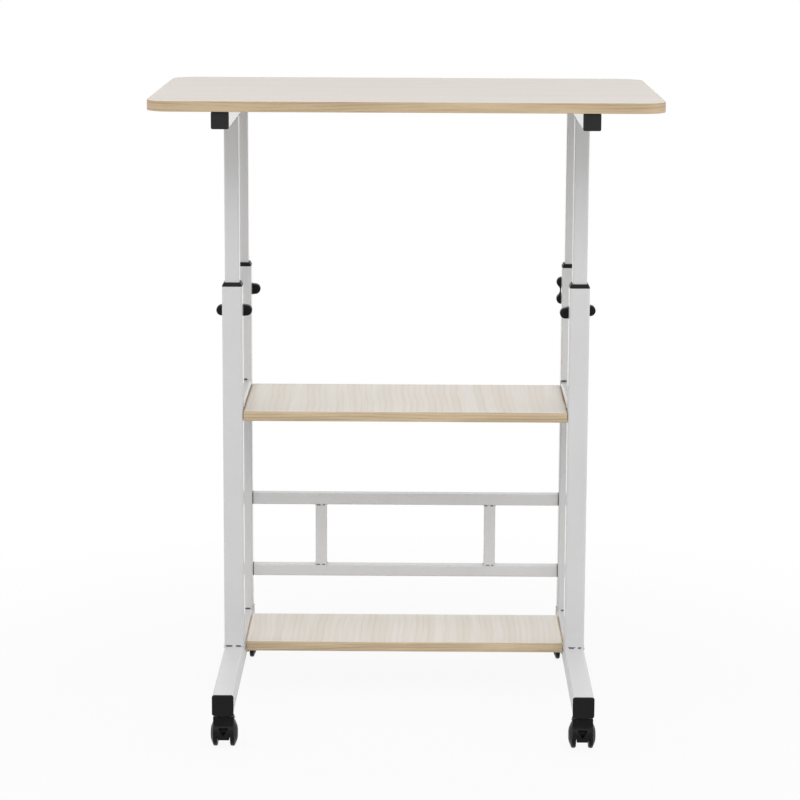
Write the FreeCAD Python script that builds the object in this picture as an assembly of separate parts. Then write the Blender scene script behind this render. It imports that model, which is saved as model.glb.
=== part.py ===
import FreeCAD, Part
import math
import os

Vector = FreeCAD.Vector
X_AXIS = Vector(1, 0, 0)
Y_AXIS = Vector(0, 1, 0)
Z_AXIS = Vector(0, 0, 1)

# Height-adjustable writing desk on castors, in millimetres.
# X runs along the tabletop, -Y is the user's side, Z is up and the floor is Z = 0.

# Boards
table_width = 600.0
table_depth = 400.0
table_height = 770.0
table_corner = 30.0
board_thickness = 12.0
band_thickness = 1.0
band_rounding = 0.6
shelf_corner = 2.0
middle_shelf_depth = 194.0
lower_shelf_depth = 137.0
shelf_end_gap = 1.0

# Square steel tube: outside size, wall and outside corner radius
leg_side = 25.0
leg_wall = 1.2
leg_corner = 3.0
inner_side = 18.0
inner_wall = 1.2
inner_corner = 2.0
bar_side = 20.0
bar_wall = 1.2
bar_corner = 2.0
rail_side = 15.0
rail_wall = 1.2
rail_corner = 1.5
inside_bend = 0.3

# Frame lengths and places
leg_inset = 86.0
leg_spacing = 183.0
leg_length = 458.0
inner_tube_overlap = 119.5
foot_length = 418.5
bar_front_inset = 4.5
side_rail_height = 365.5
stretcher_upper_height = 218.5
stretcher_lower_height = 122.0
post_spacing = 222.0

# Moulded plugs, caps and collars
cap_head = 2.5
cap_overhang = 0.4
cap_rounding = 1.0
cap_plug = 6.0
plug_fit = 0.1
collar_flange = 5.0
collar_lip = 1.0
collar_taper = 2.2
collar_sleeve = 20.0
slide_clearance = 0.3
guide_head = 8.0
guide_spigot = 12.0
end_plug_flange = 1.0
end_plug_spigot = 15.0

# Screws, bolts and shelf tabs
screw_radius = 2.0
screw_head_radius = 4.2
screw_head_height = 2.6
screw_bite = 8.0
screw_clearance = 0.05
screw_hole_clearance = 0.3
recess_length = 4.6
recess_width = 1.1
recess_depth = 1.4
table_screw_inset = 45.0
tab_width = 20.0
tab_reach = 22.0
tab_thickness = 2.5
tab_inset = 42.0
tab_screw_reach = 12.0
bolt_radius = 3.0
bolt_head_radius = 5.5
bolt_head_height = 3.5
bolt_head_rounding = 1.2
bolt_socket = 4.0
bolt_socket_depth = 2.0
bolt_bite = 12.0

# Clamp screws that lock the height
clamp_drop = 35.0
nut_across_flats = 13.0
nut_height = 6.5
stud_radius = 4.0
stud_tip_gap = 0.1
stud_bite = 12.0
running_clearance = 0.05
wall_hole_clearance = 0.3
grip_gap = 1.5
grip_hub_radius = 9.0
grip_hub_height = 3.0
grip_height = 12.0
grip_tip_radius = 22.3
grip_lobe_radius = 6.7
grip_valley_radius = 13.0
grip_rounding = 2.4
grip_boss_radius = 8.0
grip_boss_height = 2.0
grip_boss_rounding = 1.2
grip_lobes = 4
right_front_grip_turn = -6.0
right_rear_grip_turn = 45.0

# Twin-wheel castors
castor_height = 44.5
castor_inset = 16.0
castor_trail = 8.0
stem_flange_radius = 7.5
stem_flange = 4.7
stem_seat = 20.0
stem_play = 0.3
wheel_radius = 16.0
wheel_width = 8.6
wheel_tread = 5.8
wheel_edge = 2.0
wheel_bulge = 0.9
wheel_hub_radius = 6.0
wheel_bore_depth = 6.5
wheel_gap = 0.5
wheel_arch_gap = 1.0
axle_radius = 2.0
axle_end_play = 0.3
hood_web = 13.8
hood_width = 25.0
hood_wall = 2.6
hood_neck = 6.0
hood_back = 17.0
hood_floor_gap = 11.5
hood_rounding = 1.2
hood_pocket_width = 12.0
hood_pocket_top = 10.0
hood_pocket_depth = 3.2

# Levels and lines that several pieces share
foot_bottom = castor_height
foot_top = foot_bottom + leg_side
leg_top = foot_top + leg_length
table_bottom = table_height - board_thickness
bar_bottom = table_bottom - bar_side
inner_bottom = leg_top - inner_tube_overlap
inner_tube_length = bar_bottom - inner_bottom
clamp_height = leg_top - clamp_drop
hood_top = foot_bottom - stem_flange - stem_play
leg_cavity = leg_side - 2 * leg_wall
leg_x = table_width / 2 - leg_inset
inside_x = leg_x - leg_side / 2
outside_x = leg_x + leg_side / 2

# The floor under the middle of the desk is the origin, so the feet and grips reach equally far
grip_reach = nut_height + grip_gap + grip_hub_height + grip_height + grip_boss_height
rear_face_y = (foot_length + cap_head - grip_reach) / 2
rear_leg_y = rear_face_y - leg_side / 2
front_leg_y = rear_leg_y - leg_spacing
front_face_y = front_leg_y - leg_side / 2
foot_front_y = rear_face_y - foot_length
table_front_y = rear_face_y - table_depth
bar_front_y = table_front_y + bar_front_inset + cap_head
bar_rear_y = rear_leg_y + inner_side / 2

SIDES = (("left", -1), ("right", 1))
LEGS = [(f"{side}_{end}", sign * leg_x, y)
        for side, sign in SIDES
        for end, y in (("front", front_leg_y), ("rear", rear_leg_y))]
CASTOR_ROWS = (("front", foot_front_y + castor_inset), ("rear", rear_face_y - castor_inset))
GRIP_TURNS = {"right_front": right_front_grip_turn, "right_rear": right_rear_grip_turn}
CASTORS = [(f"{side}_{end}_castor", sign * leg_x, y)
           for side, sign in SIDES
           for end, y in CASTOR_ROWS]
nodes = {}

# How closely an edge has to lie at a level to belong to it
level_tolerance = 0.001


def polar(radius, degrees):
    """Point of the XY plane at a radius and an angle."""
    angle = math.radians(degrees)
    return Vector(radius * math.cos(angle), radius * math.sin(angle), 0)


def inset_corner(corner, inset):
    """Corner radius of an outline drawn inside another one, never quite sharp."""
    return max(corner - inset, inside_bend)


def rounded_face(width, depth, radius):
    """Rectangle round the origin in XY with round corners."""
    arcs = []
    for quarter, (sx, sy) in enumerate(((1, 1), (-1, 1), (-1, -1), (1, -1))):
        centre = Vector(sx * (width / 2 - radius), sy * (depth / 2 - radius), 0)
        arcs.append([centre + polar(radius, 90 * quarter + turn) for turn in (0, 45, 90)])
    edges = []
    for arc, following in zip(arcs, arcs[1:] + arcs[:1]):
        edges.append(Part.Arc(*arc).toShape())
        edges.append(Part.LineSegment(arc[-1], following[0]).toShape())
    return Part.Face(Part.Wire(edges))


def square_bar(side, corner, length):
    """Solid square bar that stands on the origin."""
    return rounded_face(side, side, corner).extrude(Z_AXIS * length)


def square_tube(side, wall, corner, length):
    """Hollow square tube that stands on the origin."""
    core = square_bar(side - 2 * wall, inset_corner(corner, wall), length)
    return square_bar(side, corner, length).cut(core)


def along_x(shape):
    """Turn a shape that stands along Z to lie along X."""
    return shape.rotated(Vector(), Y_AXIS, 90)


def along_y(shape):
    """Turn a shape that stands along Z to lie along Y."""
    return shape.rotated(Vector(), X_AXIS, -90)


def hexagon(across_flats, height):
    """Hexagonal prism that stands on the origin."""
    points = [polar(across_flats / math.sqrt(3), 60 * corner) for corner in range(7)]
    return Part.Face(Part.makePolygon(points)).extrude(Z_AXIS * height)


def edges_at(shape, height):
    """Edges that lie in the plane at one height."""
    return [edge for edge in shape.Edges
            if all(abs(vertex.Z - height) < level_tolerance for vertex in edge.Vertexes)]


def rounded_on_top(shape, height, radius):
    """Round over the rim of a shape at one height."""
    return shape.makeFillet(radius, edges_at(shape, height))


def pan_screw(length):
    """Cross-recessed screw: its head hangs below the origin and its shank rises from it."""
    head = Part.makeCylinder(screw_head_radius, screw_head_height)
    head = rounded_on_top(head, screw_head_height, screw_head_height / 2)
    for turn in (0, 90):
        slot = Part.makeBox(recess_length, recess_width, recess_depth)
        slot.translate(Vector(-recess_length / 2, -recess_width / 2, screw_head_height - recess_depth))
        head = head.cut(slot.rotated(Vector(), Z_AXIS, turn))
    head = head.rotated(Vector(), X_AXIS, 180)
    return head.fuse(Part.makeCylinder(screw_radius, length)).removeSplitter()


def end_cap(side, wall, corner):
    """Moulded caps for the front and rear end of a tube along Y: head outside the end, plug inside it.

    The head stands over the tube at both sides and below, and is flush with it above.
    """
    head = rounded_face(side + 2 * cap_overhang, side + cap_overhang, corner).extrude(Z_AXIS * cap_head)
    head = rounded_on_top(head.translated(Vector(0, -cap_overhang / 2, 0)), cap_head, cap_rounding)
    inset = wall + plug_fit
    plug = square_bar(side - 2 * inset, inset_corner(corner, inset), cap_plug)
    cap = head.fuse(plug.translated(Vector(0, 0, -cap_plug))).removeSplitter()
    front = cap.rotated(Vector(), X_AXIS, 90)
    return front, front.rotated(Vector(), Z_AXIS, 180)


def banded_board(width, depth, corner):
    """Board and the edge band round it, standing on the origin."""
    block = rounded_face(width, depth, corner).extrude(Z_AXIS * board_thickness)
    core_face = rounded_face(width - 2 * band_thickness, depth - 2 * band_thickness,
                             inset_corner(corner, band_thickness))
    board = core_face.extrude(Z_AXIS * board_thickness)
    rims = edges_at(block, 0) + edges_at(block, board_thickness)
    band = block.makeFillet(min(band_rounding, band_thickness / 2), rims).cut(board)
    return board, band


def make_side_frames():
    """Feet, legs and side rails: the welded frame at each side of the desk."""
    for side, sign in SIDES:
        foot = along_y(square_tube(leg_side, leg_wall, leg_corner, foot_length))
        foot = foot.translated(Vector(sign * leg_x, foot_front_y, foot_bottom + leg_side / 2))
        for _, y in CASTOR_ROWS:
            foot = foot.cut(Part.makeCylinder(stud_radius + screw_hole_clearance, leg_side / 2,
                                              Vector(sign * leg_x, y, foot_bottom)))
        nodes[f"{side}_foot_tube"] = foot
        rail = along_y(square_tube(leg_side, leg_wall, leg_corner, leg_spacing - leg_side))
        nodes[f"{side}_side_rail"] = rail.translated(
            Vector(sign * leg_x, front_leg_y + leg_side / 2, side_rail_height))
    for name, x, y in LEGS:
        leg = square_tube(leg_side, leg_wall, leg_corner, leg_length).translated(Vector(x, y, foot_top))
        stud_hole = Part.makeCylinder(stud_radius + wall_hole_clearance, leg_side,
                                      Vector(x, y, clamp_height), Y_AXIS)
        leg = leg.cut(stud_hole)
        if y == rear_leg_y:
            for height in (stretcher_upper_height, stretcher_lower_height):
                leg = leg.cut(Part.makeCylinder(bolt_radius + screw_hole_clearance, 2 * leg_side,
                                                Vector(x - leg_side, y, height), X_AXIS))
        nodes[f"{name}_leg"] = leg
    caps = []
    front_cap, rear_cap = end_cap(leg_side, leg_wall, leg_corner)
    for _, sign in SIDES:
        middle = Vector(sign * leg_x, 0, foot_bottom + leg_side / 2)
        caps.append(front_cap.translated(middle + Y_AXIS * foot_front_y))
        caps.append(rear_cap.translated(middle + Y_AXIS * rear_face_y))
    nodes["foot_end_caps"] = Part.makeCompound(caps)


def make_collars():
    """Collars in the tops of the legs, which guide the inner tubes."""
    lip = square_bar(leg_side, leg_corner, collar_lip)
    top_side = leg_side - 2 * collar_taper
    top = rounded_face(top_side, top_side, inset_corner(leg_corner, collar_taper))
    rim = rounded_face(leg_side, leg_side, leg_corner)
    slope = Part.makeLoft([rim.translated(Z_AXIS * collar_lip).OuterWire,
                           top.translated(Z_AXIS * collar_flange).OuterWire], True, True)
    inset = leg_wall + plug_fit
    sleeve = square_bar(leg_side - 2 * inset, inset_corner(leg_corner, inset), collar_sleeve)
    opening = square_bar(inner_side + 2 * slide_clearance, inner_corner + slide_clearance,
                         collar_sleeve + collar_flange)
    collar = lip.fuse([slope, sleeve.translated(Vector(0, 0, -collar_sleeve))])
    collar = collar.cut(opening.translated(Vector(0, 0, -collar_sleeve))).removeSplitter()
    nodes["leg_collars"] = Part.makeCompound([collar.translated(Vector(x, y, leg_top)) for _, x, y in LEGS])


def make_stretcher():
    """Ladder between the rear legs: two rails, two posts, threaded end plugs and bolts."""
    rail_length = 2 * (inside_x - end_plug_flange)
    inset = rail_wall + plug_fit
    plug = square_bar(rail_side, rail_corner, end_plug_flange).fuse(
        square_bar(rail_side - 2 * inset, inset_corner(rail_corner, inset), end_plug_spigot).translated(
            Vector(0, 0, -end_plug_spigot)))
    thread = Part.makeCylinder(bolt_radius + screw_clearance, end_plug_spigot + end_plug_flange)
    plug = along_x(plug.cut(thread.translated(Vector(0, 0, -end_plug_spigot))).removeSplitter())
    head = rounded_on_top(Part.makeCylinder(bolt_head_radius, bolt_head_height), bolt_head_height,
                          min(bolt_head_rounding, bolt_head_height / 2))
    socket = hexagon(bolt_socket, bolt_socket_depth)
    head = head.cut(socket.translated(Vector(0, 0, bolt_head_height - bolt_socket_depth)))
    shank_length = leg_side + end_plug_flange + bolt_bite
    shank = Part.makeCylinder(bolt_radius, shank_length, Vector(0, 0, -shank_length))
    bolt = along_x(head.fuse(shank).removeSplitter())
    plugs = []
    bolts = []
    for level, height in (("upper", stretcher_upper_height), ("lower", stretcher_lower_height)):
        rail = along_x(square_tube(rail_side, rail_wall, rail_corner, rail_length))
        nodes[f"stretcher_{level}_rail"] = rail.translated(Vector(-rail_length / 2, rear_leg_y, height))
        for turn in (0, 180):
            seat = Vector(rail_length / 2, rear_leg_y, height)
            outer = Vector(outside_x, rear_leg_y, height)
            centre = Vector(0, rear_leg_y, height)
            plugs.append(plug.translated(seat).rotated(centre, Z_AXIS, turn))
            bolts.append(bolt.translated(outer).rotated(centre, Z_AXIS, turn))
    nodes["stretcher_end_plugs"] = Part.makeCompound(plugs)
    nodes["stretcher_bolts"] = Part.makeCompound(bolts)
    post_length = stretcher_upper_height - stretcher_lower_height - rail_side
    post = square_tube(rail_side, rail_wall, rail_corner, post_length)
    post_foot = stretcher_lower_height + rail_side / 2
    nodes["stretcher_posts"] = Part.makeCompound(
        [post.translated(Vector(sign * post_spacing / 2, rear_leg_y, post_foot)) for _, sign in SIDES])


def make_shelves():
    """Middle and lower shelf boards, the tabs welded under them and their screws."""
    length = 2 * (inside_x - shelf_end_gap)
    tabs = []
    screws = []
    tab_blank = Part.makeBox(tab_reach, tab_width, tab_thickness)
    tab_hole = Part.makeCylinder(screw_radius + screw_hole_clearance, tab_thickness)
    screw = pan_screw(tab_thickness + screw_bite)
    shelves = (("middle", front_face_y, middle_shelf_depth, side_rail_height - board_thickness / 2),
               ("lower", front_leg_y + leg_side / 2, lower_shelf_depth, foot_top - board_thickness))
    for name, front, depth, bottom in shelves:
        board, band = banded_board(length, depth, shelf_corner)
        place = Vector(0, front + depth / 2, bottom)
        board = board.translated(place)
        for _, sign in SIDES:
            for y in (front + tab_inset, front + depth - tab_inset):
                corner = Vector(min(sign * inside_x, sign * (inside_x - tab_reach)), y - tab_width / 2,
                                bottom - tab_thickness)
                axis = Vector(sign * (inside_x - tab_screw_reach), y, bottom - tab_thickness)
                tabs.append(tab_blank.translated(corner).cut(tab_hole.translated(axis)))
                screws.append(screw.translated(axis))
                pilot = Part.makeCylinder(screw_radius + screw_clearance, screw_bite + screw_clearance)
                board = board.cut(pilot.translated(axis + Z_AXIS * tab_thickness))
        nodes[f"{name}_shelf_board"] = board
        nodes[f"{name}_shelf_edge_band"] = band.translated(place)
    nodes["shelf_tabs"] = Part.makeCompound(tabs)
    nodes["shelf_screws"] = Part.makeCompound(screws)


def make_top():
    """Tabletop with its two bars, and the inner tubes that slide in the legs."""
    board, band = banded_board(table_width, table_depth, table_corner)
    place = Vector(0, table_front_y + table_depth / 2, table_bottom)
    board = board.translated(place)
    nodes["tabletop_edge_band"] = band.translated(place)
    bar_length = bar_rear_y - bar_front_y
    front_tube_face = front_leg_y - inner_side / 2
    screw_places = (bar_front_y + table_screw_inset, front_tube_face - table_screw_inset,
                    (front_leg_y + rear_leg_y) / 2)
    screw = pan_screw(bar_side + screw_bite)
    bar_hole = Part.makeCylinder(screw_radius + screw_hole_clearance, bar_side)
    pilot = Part.makeCylinder(screw_radius + screw_clearance, screw_bite + screw_clearance)
    front_cap, rear_cap = end_cap(bar_side, bar_wall, bar_corner)
    caps = []
    screws = []
    for side, sign in SIDES:
        middle = Vector(sign * leg_x, 0, bar_bottom + bar_side / 2)
        bar = along_y(square_tube(bar_side, bar_wall, bar_corner, bar_length))
        bar = bar.translated(middle + Y_AXIS * bar_front_y)
        for y in screw_places:
            foot = Vector(sign * leg_x, y, bar_bottom)
            bar = bar.cut(bar_hole.translated(foot))
            board = board.cut(pilot.translated(foot + Z_AXIS * bar_side))
            screws.append(screw.translated(foot))
        nodes[f"{side}_top_bar"] = bar
        caps.append(front_cap.translated(middle + Y_AXIS * bar_front_y))
        caps.append(rear_cap.translated(middle + Y_AXIS * bar_rear_y))
    nodes["tabletop_board"] = board
    nodes["top_bar_caps"] = Part.makeCompound(caps)
    nodes["tabletop_screws"] = Part.makeCompound(screws)
    guide = square_bar(leg_cavity - 2 * slide_clearance, inset_corner(leg_corner, leg_wall + slide_clearance),
                       guide_head)
    inset = inner_wall + plug_fit
    spigot = square_bar(inner_side - 2 * inset, inset_corner(inner_corner, inset), guide_spigot)
    guide = guide.translated(Vector(0, 0, -guide_head)).fuse(spigot).removeSplitter()
    guides = []
    for name, x, y in LEGS:
        tube = square_tube(inner_side, inner_wall, inner_corner, inner_tube_length)
        nodes[f"{name}_inner_tube"] = tube.translated(Vector(x, y, inner_bottom))
        guides.append(guide.translated(Vector(x, y, inner_bottom)))
    nodes["inner_tube_guides"] = Part.makeCompound(guides)


def lobed_outline():
    """Star outline in XY: each lobe is an arc, and a hollow arc runs tangent between two lobes."""
    ring = grip_tip_radius - grip_lobe_radius
    half_step = 180 / grip_lobes
    across = ring * math.sin(math.radians(half_step))
    inward = grip_valley_radius - ring * math.cos(math.radians(half_step))
    hollow = (across ** 2 + inward ** 2 - grip_lobe_radius ** 2) / (2 * (grip_lobe_radius - inward))
    edges = []
    for lobe in range(grip_lobes):
        angle = 2 * half_step * lobe
        centre = polar(ring, angle)
        before = polar(grip_valley_radius + hollow, angle - half_step)
        after = polar(grip_valley_radius + hollow, angle + half_step)
        beyond = polar(ring, angle + 2 * half_step)
        start = centre + (before - centre).normalize() * grip_lobe_radius
        end = centre + (after - centre).normalize() * grip_lobe_radius
        following = beyond + (after - beyond).normalize() * grip_lobe_radius
        edges.append(Part.Arc(start, polar(grip_tip_radius, angle), end).toShape())
        edges.append(Part.Arc(end, polar(grip_valley_radius, angle + half_step), following).toShape())
    return Part.Face(Part.Wire(edges))


def make_clamps():
    """Clamp screws behind the legs: welded nut, steel stud and lobed grip."""
    nut = hexagon(nut_across_flats, nut_height)
    nut = along_y(nut.cut(Part.makeCylinder(stud_radius + running_clearance, nut_height)))
    grip_front = nut_height + grip_gap
    back = grip_hub_height + grip_height
    star = lobed_outline().extrude(Z_AXIS * grip_height)
    star = star.makeFillet(grip_rounding, edges_at(star, 0) + edges_at(star, grip_height))
    boss = rounded_on_top(Part.makeCylinder(grip_boss_radius, grip_boss_height), grip_boss_height,
                          min(grip_boss_rounding, grip_boss_height / 2))
    hub = Part.makeCylinder(grip_hub_radius, grip_hub_height)
    grip = hub.fuse([star.translated(Z_AXIS * grip_hub_height), boss.translated(Z_AXIS * back)])
    bore = Part.makeCylinder(stud_radius + running_clearance, stud_bite + running_clearance)
    grip = grip.cut(bore).removeSplitter()
    stud_start = inner_side / 2 + stud_tip_gap
    stud_end = leg_side / 2 + grip_front + stud_bite
    nuts = []
    for name, x, y in LEGS:
        axis = Vector(x, y, clamp_height)
        rear_face = axis + Y_AXIS * (leg_side / 2)
        nuts.append(nut.translated(rear_face))
        nodes[f"{name}_clamp_stud"] = Part.makeCylinder(stud_radius, stud_end - stud_start,
                                                        axis + Y_AXIS * stud_start, Y_AXIS)
        turned = along_y(grip.rotated(Vector(), Z_AXIS, GRIP_TURNS.get(name, 0)))
        nodes[f"{name}_clamp_grip"] = turned.translated(rear_face + Y_AXIS * grip_front)
    nodes["clamp_nuts"] = Part.makeCompound(nuts)


def castor_wheel():
    """One wheel with its inner side on the YZ plane: flat tread, domed outer side, blind bore."""
    rim = wheel_radius - wheel_edge
    bend = wheel_edge * (1 - math.sqrt(0.5))
    shoulder = Vector(wheel_tread, wheel_radius, 0)
    hub = Vector(wheel_width, wheel_hub_radius, 0)
    dome = (shoulder + hub) * 0.5 + Vector(wheel_bulge, wheel_bulge, 0)
    edges = [
        Part.LineSegment(Vector(), Vector(0, rim, 0)).toShape(),
        Part.Arc(Vector(0, rim, 0), Vector(bend, wheel_radius - bend, 0),
                 Vector(wheel_edge, wheel_radius, 0)).toShape(),
        Part.LineSegment(Vector(wheel_edge, wheel_radius, 0), shoulder).toShape(),
        Part.Arc(shoulder, dome, hub).toShape(),
        Part.LineSegment(hub, Vector(wheel_width, 0, 0)).toShape(),
        Part.LineSegment(Vector(wheel_width, 0, 0), Vector()).toShape(),
    ]
    wheel = Part.Face(Part.Wire(edges)).revolve(Vector(), X_AXIS, 360)
    return wheel.cut(Part.makeCylinder(axle_radius + running_clearance, wheel_bore_depth, Vector(), X_AXIS))


def castor_hood():
    """Hood on the stem axis: web between the wheels, mudguard arched over them and neck for the stem."""
    axle = Vector(0, castor_trail, wheel_radius)
    arch_radius = wheel_radius + wheel_arch_gap
    crown_radius = arch_radius + hood_wall
    front = crown_radius - castor_trail
    guard = Part.makeCylinder(crown_radius, hood_width, axle - X_AXIS * (hood_width / 2), X_AXIS)
    guard = guard.common(Part.makeBox(hood_width, front + hood_back, hood_top,
                                      Vector(-hood_width / 2, -front, wheel_radius)))
    neck = Part.makeBox(hood_width, 2 * hood_neck, hood_top - wheel_radius,
                        Vector(-hood_width / 2, -hood_neck, wheel_radius))
    neck = rounded_on_top(neck, hood_top, hood_rounding)
    head = guard.fuse(neck).removeSplitter()
    for sign in (-1, 1):
        start = axle + X_AXIS * (sign * hood_web / 2)
        head = head.cut(Part.makeCylinder(arch_radius, hood_width, start, X_AXIS * sign))
    web = Part.makeBox(hood_web, front + castor_trail, 2 * wheel_radius - hood_floor_gap,
                       Vector(-hood_web / 2, -front, hood_floor_gap))
    web = web.common(Part.makeCylinder(crown_radius, hood_web, axle - X_AXIS * (hood_web / 2), X_AXIS))
    lug = Part.makeCylinder(wheel_radius - hood_floor_gap, hood_web, axle - X_AXIS * (hood_web / 2), X_AXIS)
    hood = head.fuse([web, lug])
    pocket_back = hood_pocket_depth - front
    corners = [Vector(-hood_pocket_width / 2, pocket_back, wheel_radius + hood_pocket_top),
               Vector(hood_pocket_width / 2, pocket_back, wheel_radius + hood_pocket_top),
               Vector(0, pocket_back, wheel_radius)]
    pocket = Part.Face(Part.makePolygon(corners + corners[:1])).extrude(-Y_AXIS * front)
    seat = Part.makeCylinder(stud_radius + running_clearance, stem_seat + stem_play,
                             Vector(0, 0, hood_top), -Z_AXIS)
    axle_hole = Part.makeCylinder(axle_radius + running_clearance, hood_web, axle - X_AXIS * (hood_web / 2),
                                  X_AXIS)
    return hood.cut([pocket, seat, axle_hole]).removeSplitter()


def make_castors():
    """Four castors: fixed stem and nut, and a hood that swivels with its axle and two wheels."""
    stem_bottom = hood_top - stem_seat
    nut_seat = foot_bottom + leg_wall
    stem = Part.makeCylinder(stud_radius, nut_seat + nut_height - stem_bottom, Vector(0, 0, stem_bottom))
    flange = Part.makeCylinder(stem_flange_radius, stem_flange, Vector(0, 0, foot_bottom - stem_flange))
    stem = stem.fuse(flange).removeSplitter()
    nut = hexagon(nut_across_flats, nut_height).cut(
        Part.makeCylinder(stud_radius + screw_clearance, nut_height))
    axle_reach = hood_web / 2 + wheel_gap + wheel_bore_depth - axle_end_play
    hood = castor_hood()
    wheel = castor_wheel().translated(Vector(hood_web / 2 + wheel_gap, castor_trail, wheel_radius))
    axle = Part.makeCylinder(axle_radius, 2 * axle_reach, Vector(-axle_reach, castor_trail, wheel_radius),
                             X_AXIS)
    stems = []
    nuts = []
    for name, x, y in CASTORS:
        place = Vector(x, y, 0)
        stems.append(stem.translated(place))
        nuts.append(nut.translated(place + Z_AXIS * nut_seat))
        nodes[f"{name}_hood"] = hood.translated(place)
        nodes[f"{name}_axle"] = axle.translated(place)
        for side, turn in (("right", 0), ("left", 180)):
            spun = wheel.rotated(Vector(0, castor_trail, 0), Z_AXIS, turn)
            nodes[f"{name}_{side}_wheel"] = spun.translated(place)
    nodes["castor_stems"] = Part.makeCompound(stems)
    nodes["castor_nuts"] = Part.makeCompound(nuts)


make_side_frames()
make_collars()
make_stretcher()
make_shelves()
make_top()
make_clamps()
make_castors()

os.makedirs("parts", exist_ok=True)
for name, shape in nodes.items():
    shape.exportStep(f"parts/{name}.step")
print(len(nodes), "nodes,", sum(len(shape.Solids) for shape in nodes.values()), "solids")
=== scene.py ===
import logging
import math
from dataclasses import dataclass, field
from enum import Enum

import bpy
import numpy as np
from mathutils import Matrix, Vector


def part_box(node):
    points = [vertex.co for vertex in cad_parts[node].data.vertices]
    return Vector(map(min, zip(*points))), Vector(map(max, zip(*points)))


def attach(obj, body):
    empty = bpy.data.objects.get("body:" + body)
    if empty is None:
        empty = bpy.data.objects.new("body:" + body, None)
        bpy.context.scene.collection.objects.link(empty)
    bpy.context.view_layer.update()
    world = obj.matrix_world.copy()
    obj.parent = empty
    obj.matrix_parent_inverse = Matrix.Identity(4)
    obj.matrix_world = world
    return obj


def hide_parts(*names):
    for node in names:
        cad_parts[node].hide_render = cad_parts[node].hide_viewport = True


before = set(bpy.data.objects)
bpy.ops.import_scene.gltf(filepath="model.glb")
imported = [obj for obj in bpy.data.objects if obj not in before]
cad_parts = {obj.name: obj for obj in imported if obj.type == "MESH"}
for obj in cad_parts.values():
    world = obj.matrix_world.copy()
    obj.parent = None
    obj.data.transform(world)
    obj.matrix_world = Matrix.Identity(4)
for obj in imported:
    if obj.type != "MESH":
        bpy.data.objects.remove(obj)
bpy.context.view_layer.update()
LOG = logging.getLogger("writing_desk")
MM = 0.001
QUARTER = math.pi / 2
X_WAY = Vector((1, 0, 0))
Y_WAY = Vector((0, 1, 0))
Z_WAY = Vector((0, 0, 1))
SIDES = ("left", "right")
LEGS = tuple(f"{side}_{end}" for side in SIDES for end in ("front", "rear"))

Array = np.ndarray
Material = bpy.types.Material
Node = bpy.types.Node
Outputs = bpy.types.bpy_prop_collection
Socket = bpy.types.NodeSocket
Tree = bpy.types.NodeTree
Box = tuple[Vector, Vector]
Colour = tuple[float, float, float, float]
Pair = tuple[float, float]
Triple = tuple[float, float, float]


class Slot(Enum):
    """Material slots that the record names."""

    STEEL = "white_steel"
    LAMINATE = "laminate"
    BAND = "edge_band"
    PLASTIC = "black_plastic"
    CASTOR = "castor_plastic"
    ZINC = "zinc_steel"


class Grain(Enum):
    """Turn of the wood figure about the vertical, in degrees, for each way the grain can run."""

    ALONG_DESK = 0.0
    FRONT_TO_BACK = 90.0


def grey(level: float, warm: float = 0.0) -> Colour:
    """Colour of one brightness, warmer in red and cooler in blue by a share of it."""
    return (level * (1 + warm), level, level * (1 - warm), 1.0)


def columns(*values: float | Array) -> Array:
    """Numbers and rows of numbers set side by side as columns."""
    return np.stack(np.broadcast_arrays(*values), axis=-1)


def turn_angles(count: int) -> Array:
    """Evenly spaced angles of one full turn, in radians."""
    return np.linspace(0, 2 * np.pi, count, endpoint=False)


def arc(centre: Pair, radius: float, start: float, end: float, count: int) -> Array:
    """Points of a circle's arc in a plane, at evenly spaced angles.

    Args:
        centre: Centre of the circle.
        radius: Its radius.
        start: First angle in degrees.
        end: Last angle in degrees.
        count: How many points.

    Returns:
        Points of shape (count, 2).
    """
    angles = np.radians(np.linspace(start, end, count))
    return np.array(centre) + radius * columns(np.cos(angles), np.sin(angles))


def middle_of(node: str) -> Vector:
    """Middle of a CAD node's box."""
    low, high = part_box(node)
    return (low + high) / 2


def face_middle(box: Box, way: Vector) -> Vector:
    """Middle of the face of a box that looks one way along an axis."""
    low, high = box
    return (low + high) / 2 + way * abs((high - low) @ way) / 2


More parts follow.
